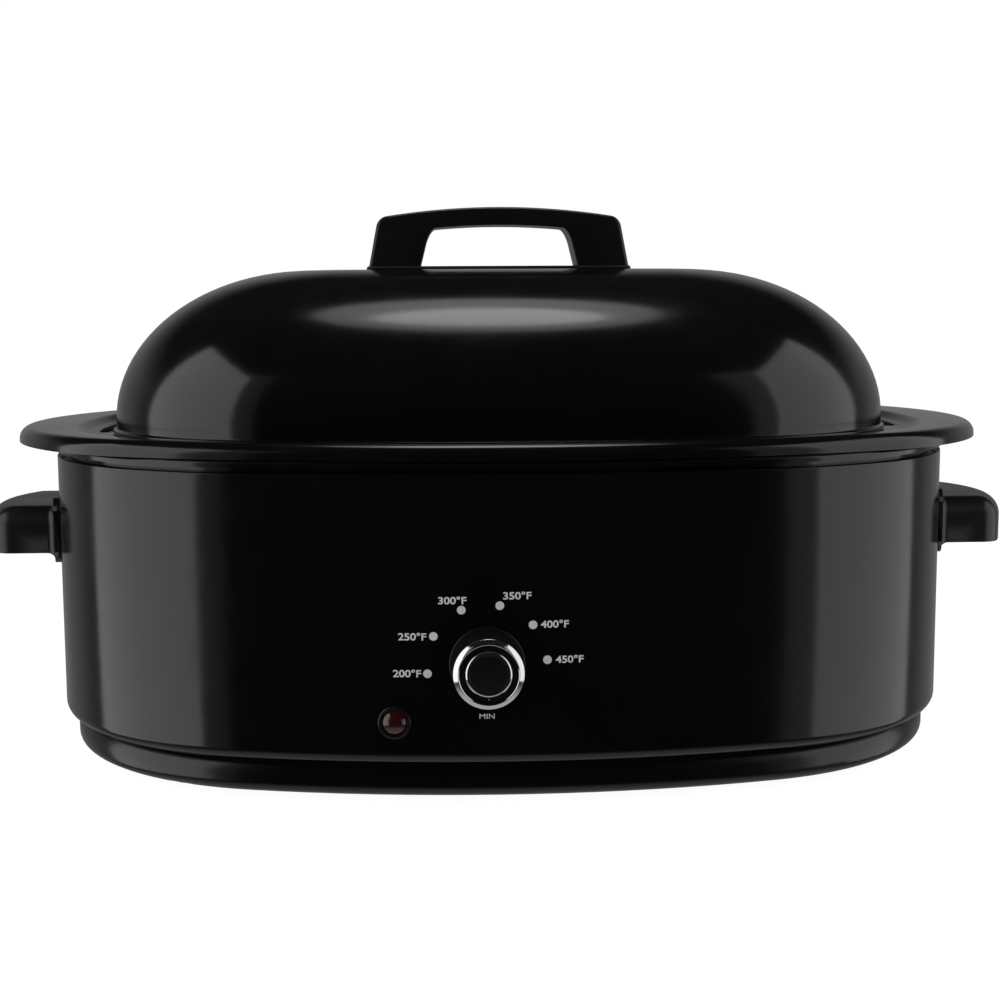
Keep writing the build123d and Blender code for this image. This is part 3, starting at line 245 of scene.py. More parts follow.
# ---------------------------------------------------------------- mesh tools
def finish_mesh(bm, name, material, smooth=True, sharp=40.0):
    """Turn a bmesh into a scene object at the origin with one material."""
    mesh = bpy.data.meshes.new(name)
    bm.to_mesh(mesh)
    bm.free()
    piece = bpy.data.objects.new(name, mesh)
    bpy.context.scene.collection.objects.link(piece)
    mesh.materials.append(material)
    if smooth:
        mesh.shade_smooth()
        mesh.set_sharp_from_angle(angle=radians(sharp))
    return piece


def bake_modifiers(piece):
    """Make the modifiers' result the piece's own mesh."""
    depsgraph = bpy.context.evaluated_depsgraph_get()
    baked = bpy.data.meshes.new_from_object(piece.evaluated_get(depsgraph), depsgraph=depsgraph)
    piece.modifiers.clear()
    old = piece.data
    piece.data = baked
    baked.name = piece.name
    bpy.data.meshes.remove(old)


def seat(piece, body, slot, *nodes):
    """Hand a finished piece to its body, in place of the solids that it stands for."""
    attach(piece, body)
    if nodes:
        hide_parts(*nodes)
    return piece


def arc(bm, start, centre, angle, steps, axis=(0, 0, 1)):
    """Spin a vertex about a centre and return the last vertex."""
    spun = bmesh.ops.spin(
        bm, geom=[start], cent=centre, axis=axis, dvec=(0, 0, 0), angle=angle, steps=steps,
        use_duplicate=False,
    )
    return [g for g in spun["geom_last"] if isinstance(g, bmesh.types.BMVert)][0]


def arc_over(half, rise):
    """Radius and half angle of the arc with this half chord and rise."""
    radius = (half**2 + rise**2) / (2 * rise)
    return radius, atan2(half, radius - rise)


def plan_centres(half_length, half_width, corner_x, corner_y, blend):
    """Centres and radii of the side, end and corner arcs of one plan outline."""
    side_radius, _ = arc_over(corner_x, half_width - corner_y)
    end_radius, _ = arc_over(corner_y, half_length - corner_x)
    side_centre = Vector((0, half_width - side_radius))
    end_centre = Vector((half_length - end_radius, 0))
    meets = intersect_sphere_sphere_2d(side_centre, side_radius - blend, end_centre, end_radius - blend)
    corner = max(meets, key=lambda point: point.x + point.y)
    return side_centre, side_radius, end_centre, end_radius, corner


def ring(bm, z, half_length, half_width, corner_x, corner_y, blend, steps=OVAL_STEPS):
    """A closed loop of edges round the plan outline at one height, its closing edge last."""
    side_centre, _, end_centre, _, corner = plan_centres(half_length, half_width, corner_x, corner_y, blend)
    end_turn = atan2(corner.y, corner.x - end_centre.x)
    side_turn = atan2(corner.y - side_centre.y, corner.x)
    half_end, corner_steps, side_steps = steps
    before = set(bm.edges)
    first = last = bm.verts.new((half_length, 0, z))
    corner_angle = side_turn - end_turn
    for sign in (1, -1):
        end = ((sign * end_centre.x, 0), end_turn, half_end)
        far_end = ((-sign * end_centre.x, 0), end_turn, half_end)
        arcs = (
            end,
            ((sign * corner.x, sign * corner.y), corner_angle, corner_steps),
            ((0, sign * side_centre.y), pi - 2 * side_turn, side_steps),
            ((-sign * corner.x, sign * corner.y), corner_angle, corner_steps),
            far_end,
        )
        for centre, angle, count in arcs:
            last = arc(bm, last, (*centre, z), angle, count)
    before_closing = set(bm.edges)
    bmesh.ops.weld_verts(bm, targetmap={last: first})
    closing = [e for e in first.link_edges if e not in before_closing]
    return [e for e in bm.edges if e not in before and e not in closing] + closing


def oval_plan(half_length, half_width):
    """The roaster's own oval: half sizes, then its corners' places and rounding as shares of them."""
    return half_length, half_width, 0.9 * half_length, 0.75 * half_width, 0.8 * half_width


def oval(bm, z, half_length, half_width):
    """A loop of edges round the roaster's own oval at one height."""
    return ring(bm, z, *oval_plan(half_length, half_width))


def joined(bm, rings, closed=False):
    """Bridge each ring to the next, and the last to the first for a closed section."""
    # The closing edges are left out of the bridge, so that it pairs the vertices in their order
    for low, high in zip(rings, rings[1:] + rings[:1] if closed else rings[1:]):
        bmesh.ops.bridge_loops(bm, edges=low[:-1] + high[:-1])
        seam, facing = low[-1], high[-1]
        sides = [e for v in seam.verts for e in v.link_edges if e.other_vert(v) in facing.verts]
        bmesh.ops.holes_fill(bm, edges=[seam, facing, *sides], sides=4)


def cut_corners(bm, verts, radius, segments):
    """Round corners of a flat outline."""
    bmesh.ops.bevel(
        bm, geom=verts, offset=radius, segments=segments, profile=0.5, affect="VERTICES", material=-1
    )


def rounded(bm, edges, radius, segments):
    """Round a loop of edges."""
    bmesh.ops.bevel(
        bm, geom=edges, offset=radius, offset_type="OFFSET", segments=segments, profile=0.5,
        affect="EDGES", material=-1, clamp_overlap=True,
    )


def capped(bm, edges):
    """Close a loop with one flat face."""
    bmesh.ops.contextual_create(bm, geom=edges)


def raised(bm, vector):
    """Thicken the flat faces of a bmesh along a vector."""
    made = bmesh.ops.extrude_face_region(bm, geom=bm.faces[:])["geom"]
    bmesh.ops.translate(bm, vec=vector, verts=[g for g in made if isinstance(g, bmesh.types.BMVert)])


def facing_up(bm, pick):
    """Turn all faces over if the lowest or highest one, by pick, looks down."""
    bmesh.ops.recalc_face_normals(bm, faces=bm.faces)
    face = pick(bm.faces, key=lambda face: face.calc_center_median().z)
    if face.normal.z < 0:
        bmesh.ops.reverse_faces(bm, faces=bm.faces)


def sheet_metal(piece, thickness):
    """Give a surface the thickness of its sheet, inwards."""
    wall = piece.modifiers.new("sheet", "SOLIDIFY")
    wall.thickness = thickness
    wall.offset = -1.0


def outwards(bm):
    """Merge doubles and point every face outwards."""
    bmesh.ops.remove_doubles(bm, verts=bm.verts, dist=TOUCH)
    bmesh.ops.recalc_face_normals(bm, faces=bm.faces)


def full_turn(bm, geom, steps):
    """Spin geometry once round the Z axis."""
    bmesh.ops.spin(
        bm, geom=geom, cent=(0, 0, 0), axis=(0, 0, 1), dvec=(0, 0, 0), angle=2 * pi, steps=steps,
        use_merge=True, use_duplicate=False,
    )


def collar(bore, radius, low, high):
    """The (radius, height) section of a plain collar."""
    return (bore, low), (radius, low), (radius, high), (bore, high)


def turned(name, material, outline, turn_steps=96, bevels=()):
    """Spin a closed (radius, height) section about the Z axis; bevels are (index, radius, segments)."""
    bm = bmesh.new()
    verts = [bm.verts.new((radius, 0, height)) for radius, height in outline]
    bm.faces.new(verts)
    for index, radius, segments in bevels:
        cut_corners(bm, [verts[index]], radius, segments)
    full_turn(bm, bm.faces[:] + bm.edges[:] + bm.verts[:], turn_steps)
    # Takes away the section where it lies in its own plane; its copies at the other steps stay inside
    across = [f for f in bm.faces if abs(f.normal.y) > 0.999]
    section = [f for f in across if all(abs(v.co.y) < 0.1 * TOUCH for v in f.verts)]
    bmesh.ops.delete(bm, geom=section, context="FACES")
    outwards(bm)
    return finish_mesh(bm, name, material, sharp=35.0)


def front_wall(shell, x):
    """Where the body's front wall stands at x, and how far it has turned aside there."""
    plan = oval_plan(shell.body_half_length, shell.body_half_width)
    side_centre, side_radius, *_ = plan_centres(*plan)
    return -(side_centre.y + sqrt(side_radius**2 - x**2)), x / side_radius


def out_of_wall(piece, x, z, shell):
    """Stand a piece made along +Z on the front wall at x and z."""
    wall_y, lean = front_wall(shell, x)
    place = Matrix.Translation((x, wall_y, z))
    piece.data.transform(place @ Matrix.Rotation(lean, 4, "Z") @ FORWARD)


# ---------------------------------------------------------------- shader groups
def new_group(name, inputs, outputs):
    """An empty shader node group, with the sockets that it is given and those of its result."""
    group = bpy.data.node_groups.new(name, "ShaderNodeTree")
    for socket, kind, default in inputs:
        made = group.interface.new_socket(name=socket, in_out="INPUT", socket_type=kind)
        made.default_value = default
    for socket, kind in outputs:
        group.interface.new_socket(name=socket, in_out="OUTPUT", socket_type=kind)
    given, result = group.nodes.new("NodeGroupInput"), group.nodes.new("NodeGroupOutput")
    return group, given.outputs, result.inputs


def noise(tree, scale, detail=4.0, roughness=0.55, vector=None):
    """A noise texture on the given vector."""
    node = tree.nodes.new("ShaderNodeTexNoise")
    node.inputs["Detail"].default_value = detail
    node.inputs["Roughness"].default_value = roughness
    if isinstance(scale, float):
        node.inputs["Scale"].default_value = scale
    else:
        tree.links.new(scale, node.inputs["Scale"])
    if vector is not None:
        tree.links.new(vector, node.inputs["Vector"])
    return node.outputs["Fac"]


def math_node(tree, operation, first, second):
    """A math node on two sockets or numbers."""
    node = tree.nodes.new("ShaderNodeMath")
    node.operation = operation
    for index, value in enumerate((first, second)):
        if isinstance(value, (int, float)):
            node.inputs[index].default_value = value
        else:
            tree.links.new(value, node.inputs[index])
    return node.outputs[0]


def ramp(tree, value, low, high):
    """Map a value from low..high to nought..one, clamped."""
    node = tree.nodes.new("ShaderNodeMapRange")
    node.inputs["From Min"].default_value = low
    node.inputs["From Max"].default_value = high
    tree.links.new(value, node.inputs["Value"])
    return node.outputs["Result"]


def mixed(tree, factor, first, second):
    """Mix two colours; each is a socket or a plain colour."""
    node = tree.nodes.new("ShaderNodeMix")
    node.data_type = "RGBA"
    tree.links.new(factor, node.inputs["Factor"])
    for socket, value in ((node.inputs[6], first), (node.inputs[7], second)):
        if isinstance(value, (tuple, list)):
            socket.default_value = (*value[:3], 1.0)
        else:
            tree.links.new(value, socket)
    return node.outputs[2]


def handling_group():
    """Soft smudges and fine wipe marks that change a gloss from place to place."""
    group, given, result = new_group(
        "handling_marks",
        [("Vector", "NodeSocketVector", (0, 0, 0)), ("Roughness", "NodeSocketFloat", 0.2),
         ("Amount", "NodeSocketFloat", 0.05), ("Scale", "NodeSocketFloat", 12.0)],
        [("Roughness", "NodeSocketFloat"), ("Mask", "NodeSocketFloat")],
    )
    smear = noise(group, given["Scale"], 3.0, 0.5, given["Vector"])
    fine = math_node(group, "MULTIPLY", given["Scale"], 9.0)
    wipe = noise(group, fine, 5.0, 0.65, given["Vector"])
    mask = math_node(group, "MULTIPLY", ramp(group, smear, 0.42, 0.7), ramp(group, wipe, 0.3, 0.7))
    group.links.new(mask, result["Mask"])
    dulled = math_node(group, "MULTIPLY", mask, given["Amount"])
    group.links.new(math_node(group, "ADD", given["Roughness"], dulled), result["Roughness"])
    return group


def relief_group():
    """Fine surface relief: a long soft ripple with a close grain on it."""
    group, given, result = new_group(
        "fine_relief",
        [("Vector", "NodeSocketVector", (0, 0, 0)), ("Ripple Scale", "NodeSocketFloat", 60.0),
         ("Grain Scale", "NodeSocketFloat", 900.0), ("Grain", "NodeSocketFloat", 0.2)],
        [("Height", "NodeSocketFloat")],
    )
    ripple = noise(group, given["Ripple Scale"], 2.0, 0.4, given["Vector"])
    grain = noise(group, given["Grain Scale"], 2.0, 0.5, given["Vector"])
    height = math_node(group, "ADD", ripple, math_node(group, "MULTIPLY", grain, given["Grain"]))
    group.links.new(height, result["Height"])
    return group


def dust_group():
    """A thin film of dust that gathers on faces that look up."""
    group, given, result = new_group(
        "settled_dust",
        [("Vector", "NodeSocketVector", (0, 0, 0)), ("Color", "NodeSocketColor", (0, 0, 0, 1)),
         ("Dust Color", "NodeSocketColor", (0.3, 0.3, 0.29, 1)), ("Amount", "NodeSocketFloat", 0.02)],
        [("Color", "NodeSocketColor"), ("Mask", "NodeSocketFloat")],
    )
    geometry = group.nodes.new("ShaderNodeNewGeometry")
    apart = group.nodes.new("ShaderNodeSeparateXYZ")
    group.links.new(geometry.outputs["Normal"], apart.inputs[0])
    patchy = noise(group, 35.0, 6.0, 0.6, given["Vector"])
    upward = ramp(group, apart.outputs["Z"], 0.2, 1.0)
    mask = math_node(group, "MULTIPLY", upward, ramp(group, patchy, 0.3, 0.75))
    scaled = math_node(group, "MULTIPLY", mask, given["Amount"])
    group.links.new(scaled, result["Mask"])
    dusted = mixed(group, scaled, given["Color"], given["Dust Color"])
    group.links.new(dusted, result["Color"])
    return group


def tone_group():
    """Slow drift between two tones, as in a batch of paint, moulding or plating."""
    group, given, result = new_group(
        "tone_drift",
        [("Vector", "NodeSocketVector", (0, 0, 0)), ("Color", "NodeSocketColor", (0, 0, 0, 1)),
         ("Second Color", "NodeSocketColor", (0.1, 0.1, 0.1, 1)), ("Scale", "NodeSocketFloat", 18.0)],
        [("Color", "NodeSocketColor")],
    )
    drift = noise(group, given["Scale"], 5.0, 0.6, given["Vector"])
    drifted = mixed(group, ramp(group, drift, 0.3, 0.75), given["Color"], given["Second Color"])
    group.links.new(drifted, result["Color"])
    return group


GROUP_MAKERS = {
    "handling_marks": handling_group,
    "fine_relief": relief_group,
    "settled_dust": dust_group,
    "tone_drift": tone_group,
}


def placed(tree, name, vector, **values):
    """Place a shared group in a material with its own values; _ stands for a space in their names."""
    group = bpy.data.node_groups.get(name) or GROUP_MAKERS[name]()
    node = tree.nodes.new("ShaderNodeGroup")
    node.node_tree = group
    tree.links.new(vector, node.inputs["Vector"])
    for key, value in values.items():
        socket = node.inputs[key.replace("_", " ")]
        if isinstance(value, bpy.types.NodeSocket):
            tree.links.new(value, socket)
        elif isinstance(value, (tuple, list)):
            socket.default_value = (*value[:3], 1.0)
        else:
            socket.default_value = value
    return node


def finish(name, base, second, roughness, smudge=0.05, smudge_scale=12.0, tone_scale=18.0, dust=0.0,
           ripple=(60.0, 0.02), grain=(900.0, 0.2), metallic=0.0, coat=0.0, sheet_scale=(1, 1, 1), **plain):
    """A finish made of the shared groups; plain values go straight onto the shader.

    A ripple is a scale and a height in mm, and a grain is a scale and its share of that height.
    """
    material = bpy.data.materials.get(name)
    if material:
        return material
    material = bpy.data.materials.new(name)
    material.use_nodes = True
    tree = material.node_tree
    shader = tree.nodes["Principled BSDF"]
    place = tree.nodes.new("ShaderNodeTexCoord").outputs["Object"]
    if sheet_scale != (1, 1, 1):
        mapping = tree.nodes.new("ShaderNodeMapping")
        mapping.inputs["Scale"].default_value = sheet_scale
        tree.links.new(place, mapping.inputs["Vector"])
        place = mapping.outputs["Vector"]
    tone = placed(tree, "tone_drift", place, Color=base, Second_Color=second, Scale=tone_scale)
    shade = tone.outputs["Color"]
    if dust:
        shade = placed(tree, "settled_dust", place, Color=shade, Amount=dust).outputs["Color"]
    tree.links.new(shade, shader.inputs["Base Color"])
    marks = placed(tree, "handling_marks", place, Roughness=roughness, Amount=smudge, Scale=smudge_scale)
    tree.links.new(marks.outputs["Roughness"], shader.inputs["Roughness"])
    (ripple_scale, ripple_height), (grain_scale, grain_share) = ripple, grain
    relief = placed(
        tree, "fine_relief", place, Ripple_Scale=ripple_scale, Grain_Scale=grain_scale, Grain=grain_share
    )
    bump = tree.nodes.new("ShaderNodeBump")
    bump.inputs["Strength"].default_value = 1.0
    bump.inputs["Distance"].default_value = ripple_height * MM
    tree.links.new(relief.outputs["Height"], bump.inputs["Height"])
    tree.links.new(bump.outputs["Normal"], shader.inputs["Normal"])
    shader.inputs["Metallic"].default_value = metallic
    shader.inputs["Coat Weight"].default_value = coat
    for key, value in plain.items():
        shader.inputs[key.replace("_", " ")].default_value = value
    return material


def times(shade, factor):
    """A lighter or darker shade of a colour."""
    return tuple(min(1.0, factor * value) for value in shade)


def finishes():
    """Every finish of the roaster, by the name of its slot."""
    s = bpy.context.scene.roaster_finish
    enamel, plastic, matt = tuple(s.enamel), tuple(s.plastic), tuple(s.matt_plastic)
    return {
        "black_enamel": finish("gloss_enamel", enamel, times(enamel, 1.5), s.enamel_gloss, 0.07, 9.0, 25.0,
                               dust=0.012, ripple=(170.0, 0.014), grain=(1100.0, 0.4)),
        "black_base": finish("base_paint", enamel, times(enamel, 1.8), 0.2, 0.1, 14.0, 25.0,
                             ripple=(220.0, 0.02), grain=(1500.0, 0.2)),
        "black_plastic": finish("handle_plastic", plastic, times(plastic, 1.6), s.plastic_gloss, 0.1, 22.0,
                                30.0, dust=0.01, ripple=(400.0, 0.01), grain=(2600.0, 0.5)),
        "dark_plastic": finish("plain_plastic", matt, times(matt, 1.4), 0.45, 0.1, 22.0, 30.0,
                               dust=0.02, ripple=(700.0, 0.02), grain=(3000.0, 0.6)),
        "chromed": finish("bright_plate", (0.72, 0.73, 0.75), (0.66, 0.67, 0.69), 0.08, 0.06, 60.0, 60.0,
                          ripple=(500.0, 0.004), grain=(2500.0, 0.1), metallic=1.0),
        "foot_rubber": finish("foot_rubber", (0.02, 0.02, 0.02), (0.035, 0.034, 0.032), 0.75, 0.1, 60.0, 60.0,
                              dust=0.05, ripple=(800.0, 0.05), grain=(3000.0, 0.6)),
        "aluminised": finish("aluminised_sheet", (0.5, 0.5, 0.51), (0.4, 0.4, 0.41), 0.38, 0.15, 30.0, 80.0,
                             ripple=(500.0, 0.02), grain=(1800.0, 0.5), metallic=1.0),
        "zinc_steel": finish("zinc_plate", (0.6, 0.6, 0.57), (0.5, 0.5, 0.46), 0.3, 0.15, 80.0, 150.0,
                             ripple=(900.0, 0.01), grain=(2600.0, 0.3), metallic=1.0),
        "rack_wire": finish("plated_wire", (0.7, 0.7, 0.71), (0.58, 0.58, 0.6), 0.16, 0.12, 60.0, 120.0,
                            ripple=(700.0, 0.01), grain=(2600.0, 0.2), metallic=1.0),
        "heater_cloth": finish("heater_cloth", (0.55, 0.52, 0.44), (0.42, 0.38, 0.3), 0.9, 0.05, 60.0, 400.0,
                               ripple=(900.0, 0.5), grain=(2500.0, 0.6)),
        "wool": finish("mineral_wool", (0.66, 0.58, 0.32), (0.5, 0.42, 0.2), 0.95, 0.03, 60.0, 90.0,
                       ripple=(300.0, 1.5), grain=(1200.0, 0.8), sheet_scale=(1, 1, 3)),
        "lead_sleeve": finish("lead_sleeve", (0.72, 0.71, 0.66), (0.6, 0.58, 0.52), 0.5, 0.1, 60.0, 90.0,
                              ripple=(900.0, 0.03), grain=(2600.0, 0.4)),
        "brown_phenolic": finish("brown_moulding", (0.12, 0.065, 0.035), (0.2, 0.12, 0.07), 0.4, 0.1, 60.0,
                                 250.0, ripple=(900.0, 0.03), grain=(2600.0, 0.4)),
        "bulb_glass": finish("bulb_glass", (0.92, 0.88, 0.84), (0.85, 0.8, 0.74), 0.08, 0.05, 80.0, 90.0,
                             ripple=(500.0, 0.005), grain=(2600.0, 0.1), Transmission_Weight=0.9),
        "lamp_red": finish("lamp_lens", tuple(s.lens), times(s.lens, 0.6), 0.1, 0.06, 60.0, 200.0,
                           ripple=(1100.0, 0.09), grain=(2600.0, 0.2), coat=0.4,
                           Transmission_Weight=0.25, Coat_Roughness=0.08),
        "ink": finish("scale_ink", tuple(s.ink), times(s.ink, 0.9), 0.45, 0.1, 60.0, 200.0,
                      ripple=(900.0, 0.01), grain=(2600.0, 0.3)),
    }


# ---------------------------------------------------------------- operators
class ROASTER_OT_body(bpy.types.Operator):
    """Build the body shell with its curled lower edge"""

    bl_idname = "roaster.body"
    bl_label = "Body shell"

    def execute(self, context):
        s = context.scene.roaster_shell
        hl, hw, wall = s.body_half_length, s.body_half_width, s.sheet
        bm = bmesh.new()
        inner, lip = s.curl + wall, s.body_lip
        section = (
            (inner, s.seam), (0, s.seam), (0, s.body_top), (lip, s.body_top), (lip, s.body_top - wall),
            (wall, s.body_top - wall), (wall, s.seam + wall), (inner, s.seam + wall),
        )
        rings = [oval(bm, z, hl - inset, hw - inset) for inset, z in section]
        joined(bm, rings, closed=True)
        rounded(bm, rings[1], s.curl, 10)
        rounded(bm, rings[2], s.fold, 3)
        rounded(bm, rings[6], s.curl - wall, 8)
        outwards(bm)
        piece = finish_mesh(bm, "body_shell", finishes()["black_enamel"])
        seat(piece, "housing", "black_enamel", "outer_shell")
        return {"FINISHED"}


class ROASTER_OT_liner(bpy.types.Operator):
    """Build the heated liner's wall and the flange whose lip shows under the rim"""

    bl_idname = "roaster.liner"
    bl_label = "Liner and flange"

    def execute(self, context):
        s = context.scene.roaster_shell
        hl, hw = s.body_half_length, s.body_half_width
        inset, wall, foot = s.liner_inset, s.sheet, s.liner_foot
        top = s.gutter - s.well_sheet - s.seat_gap
        bm = bmesh.new()
        section = (
            (foot, s.liner_low - wall), (0, s.liner_low - wall), (0, top), (wall, top), (wall, s.liner_low),
            (foot, s.liner_low),
        )
        rings = [oval(bm, z, hl - inset - inner, hw - inset - inner) for inner, z in section]
        joined(bm, rings, closed=True)
        rounded(bm, rings[1], s.liner_round, 5)
        rounded(bm, rings[4], s.liner_round - wall, 4)
        outwards(bm)
        seat(finish_mesh(bm, "liner_wall", finishes()["aluminised"]), "housing", "aluminised", "liner")
        plate, lip, high = s.flange_plate, s.flange_lip, s.body_top + s.flange_rise
        out, neck = s.flange_out, s.flange_neck
        bm = bmesh.new()
        section = (
            (-out, high - lip), (-out, high), (inset - wall / 2, high), (inset - wall / 2, high - plate),
            (neck + plate, high - plate), (neck + plate, s.body_top), (neck, s.body_top),
            (neck, high - plate), (plate - out, high - plate), (plate - out, high - lip),
        )
        rings = [oval(bm, z, hl - inner, hw - inner) for inner, z in section]
        joined(bm, rings, closed=True)
        rounded(bm, rings[1], plate, 5)
        outwards(bm)
        seat(finish_mesh(bm, "liner_flange", finishes()["black_enamel"]), "housing", "black_enamel")
        return {"FINISHED"}


class ROASTER_OT_cookwell(bpy.types.Operator):
    """Build the cookwell with its gutter, winged rim, rolled lip and slots"""

    bl_idname = "roaster.cookwell"
    bl_label = "Cookwell"

    def execute(self, context):
        s = context.scene.roaster_shell
        bm = bmesh.new()
        foot = oval(bm, s.well_floor, s.well_half_length - s.well_draft, s.well_half_width - s.well_draft)
        mouth = oval(bm, s.gutter, s.well_half_length, s.well_half_width)
        channel = oval(bm, s.gutter, s.gutter_half_length, s.gutter_half_width)
        flare = s.gutter_flare
        brim = oval(bm, s.rim_top, s.gutter_half_length + flare, s.gutter_half_width + flare)
        corner = (s.rim_corner_x, s.rim_corner_y)
        edge = (s.rim_half_length, s.rim_half_width, *corner, s.rim_blend, RIM_STEPS)
        turn = ring(bm, s.rim_top, *edge)
        lip = ring(bm, s.rim_low, *edge)
        joined(bm, [foot, mouth, channel, brim, turn, lip])
        capped(bm, foot)
        facing_up(bm, min)
        rounded(bm, foot, s.well_round, 10)
        rounded(bm, mouth, s.mouth_round, 5)
        rounded(bm, channel, s.channel_round, 5)
        rounded(bm, brim, s.brim_round, 5)
        rounded(bm, turn, s.rim_roll, 10)
        piece = finish_mesh(bm, "cookwell_pressing", finishes()["black_enamel"])
        sheet_metal(piece, s.well_sheet)
        cutter = self.slot_cutter(s)
        cut = piece.modifiers.new("slots", "BOOLEAN")
        cut.operation = "DIFFERENCE"
        cut.solver = "MANIFOLD"
        cut.object = cutter
        bake_modifiers(piece)
        bpy.data.objects.remove(cutter)
        piece.data.shade_smooth()
        piece.data.set_sharp_from_angle(angle=radians(40))
        seat(piece, "cookwell", "black_enamel", "cookwell")
        return {"FINISHED"}

    def slot_cutter(self, s):
        """Two curved slots with round ends, as one cutting solid."""
        bm = bmesh.new()
        half_turn = s.slot_length / 2 / s.slot_bow
        below, height = s.gutter - 4 * MM, 12 * MM
        # The round ends stop just short of meeting, so that no edge shrinks to nothing
        end_round = 0.46 * s.slot_width
        for side in (1, -1):
            centre = (side * (s.slot_centre - s.slot_bow), 0, 0)
            made = []
            for radius in (s.slot_bow - s.slot_width / 2, s.slot_bow + s.slot_width / 2):
                across, along = radius * cos(half_turn), -radius * sin(half_turn)
                made.append(bm.verts.new((centre[0] + side * across, along, below)))
            edge = bm.edges.new(made)
            spun = bmesh.ops.spin(
                bm, geom=[edge, *made], cent=centre, axis=(0, 0, 1), dvec=(0, 0, 0),
                angle=side * 2 * half_turn, steps=16, use_duplicate=False,
            )
            last = [g for g in spun["geom_last"] if isinstance(g, bmesh.types.BMVert)]
            cut_corners(bm, made + last, end_round, 6)
        raised(bm, (0, 0, height))
        outwards(bm)
        return finish_mesh(bm, "slot_cutter", finishes()["black_enamel"], smooth=False)


class ROASTER_OT_lid(bpy.types.Operator):
    """Build the domed lid with its edge bead"""

    bl_idname = "roaster.lid"
    bl_label = "Lid"
    stations: IntProperty(name="Stations", description="Rings up the dome", default=26, min=4)

    def execute(self, context):
        s = context.scene.roaster_shell
        hl, hw, bead = s.lid_half_length, s.lid_half_width, s.lid_bead
        bead_top = s.lid_low + s.lid_bead_height
        bm = bmesh.new()
        low = [
            oval(bm, s.lid_low, hl + bead, hw + bead),
            oval(bm, bead_top, hl + bead, hw + bead),
            oval(bm, bead_top, hl, hw),
            oval(bm, s.lid_spring, hl, hw),
        ]
        dome = []
        for station in range(1, self.stations + 1):
            angle = pi / 2 * station / self.stations
            inset = s.lid_shoulder * (1 - cos(angle))
            dome.append(oval(bm, s.lid_spring + s.lid_rise * sin(angle), hl - inset, hw - inset))
        joined(bm, low + dome)
        capped(bm, dome[-1])
        facing_up(bm, max)
        rounded(bm, low[1], s.lid_bead_round, 4)
        rounded(bm, low[2], s.fold, 3)
        piece = finish_mesh(bm, "lid_pressing", finishes()["black_enamel"], sharp=50.0)
        sheet_metal(piece, s.lid_sheet)
        bake_modifiers(piece)
        seat(piece, "lid", "black_enamel", "lid_shell")
        return {"FINISHED"}


class ROASTER_OT_lid_handle(bpy.types.Operator):
    """Build the arched lid handle with its bevelled finger gap"""

    bl_idname = "roaster.lid_handle"
    bl_label = "Lid handle"

    def execute(self, context):
        s = context.scene.roaster_fitting
        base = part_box("lid_handle")[0].z
        depth = s.grip_depth
        bm = bmesh.new()
        crown = self.crown(bm, s.grip_top, s.grip_shoulder, s.grip_crown, base, depth / 2)
        gap = self.crown(bm, s.gap_top, s.gap_shoulder, s.gap_crown, base, depth / 2)
        corners = (-s.grip_foot, s.grip_foot, -s.gap_foot, s.gap_foot)
        feet = [bm.verts.new((x, depth / 2, base)) for x in corners]
        bm.faces.new([feet[0], *crown, feet[1], feet[3], *reversed(gap), feet[2]])
        cut_corners(bm, [crown[0], crown[-1]], s.grip_round, 8)
        cut_corners(bm, [gap[0], gap[-1]], s.gap_round, 10)
        raised(bm, (0, -depth, 0))
        outwards(bm)
        beside, above = s.gap_foot + MM, base + s.gap_crown + 0.2 * MM
        gap_edges = [
            e for e in self.outline_edges(bm, depth, base)
            if all(abs(v.co.x) < beside and v.co.z < above for v in e.verts)
        ]
        rounded(bm, gap_edges, s.gap_bevel, 1)
        beside, above = s.gap_foot + 6 * MM, base + s.gap_crown + s.gap_bevel + 1.5 * MM
        outer_edges = [
            e for e in self.outline_edges(bm, depth, base)
            if max(abs(v.co.x) for v in e.verts) > beside or max(v.co.z for v in e.verts) > above
        ]
        rounded(bm, outer_edges, s.grip_edge, 4)
        piece = finish_mesh(bm, "lid_grip", finishes()["black_plastic"], sharp=28.0)
        seat(piece, "lid", "black_plastic", "lid_handle")
        return {"FINISHED"}

    def outline_edges(self, bm, depth, base):
        """Edges of the front and back faces, apart from those on the base plate."""
        flat = [e for e in bm.edges if abs(e.verts[0].co.y - e.verts[1].co.y) < TOUCH]
        faces = [e for e in flat if abs(abs(e.verts[0].co.y) - depth / 2) < TOUCH]
        return [e for e in faces if max(v.co.z for v in e.verts) > base + 0.5 * MM]

    def crown(self, bm, half, shoulder, crown, base, y):
        """Vertices along a shallow arch, from left to right."""
        radius, half_turn = arc_over(half, crown - shoulder)
        before = set(bm.verts)
        start = bm.verts.new((-half, y, base + shoulder))
        arc(bm, start, (0, y, base + crown - radius), 2 * half_turn, 24, axis=(0, 1, 0))
        made = [v for v in bm.verts if v not in before]
        return sorted(made, key=lambda v: v.co.x)


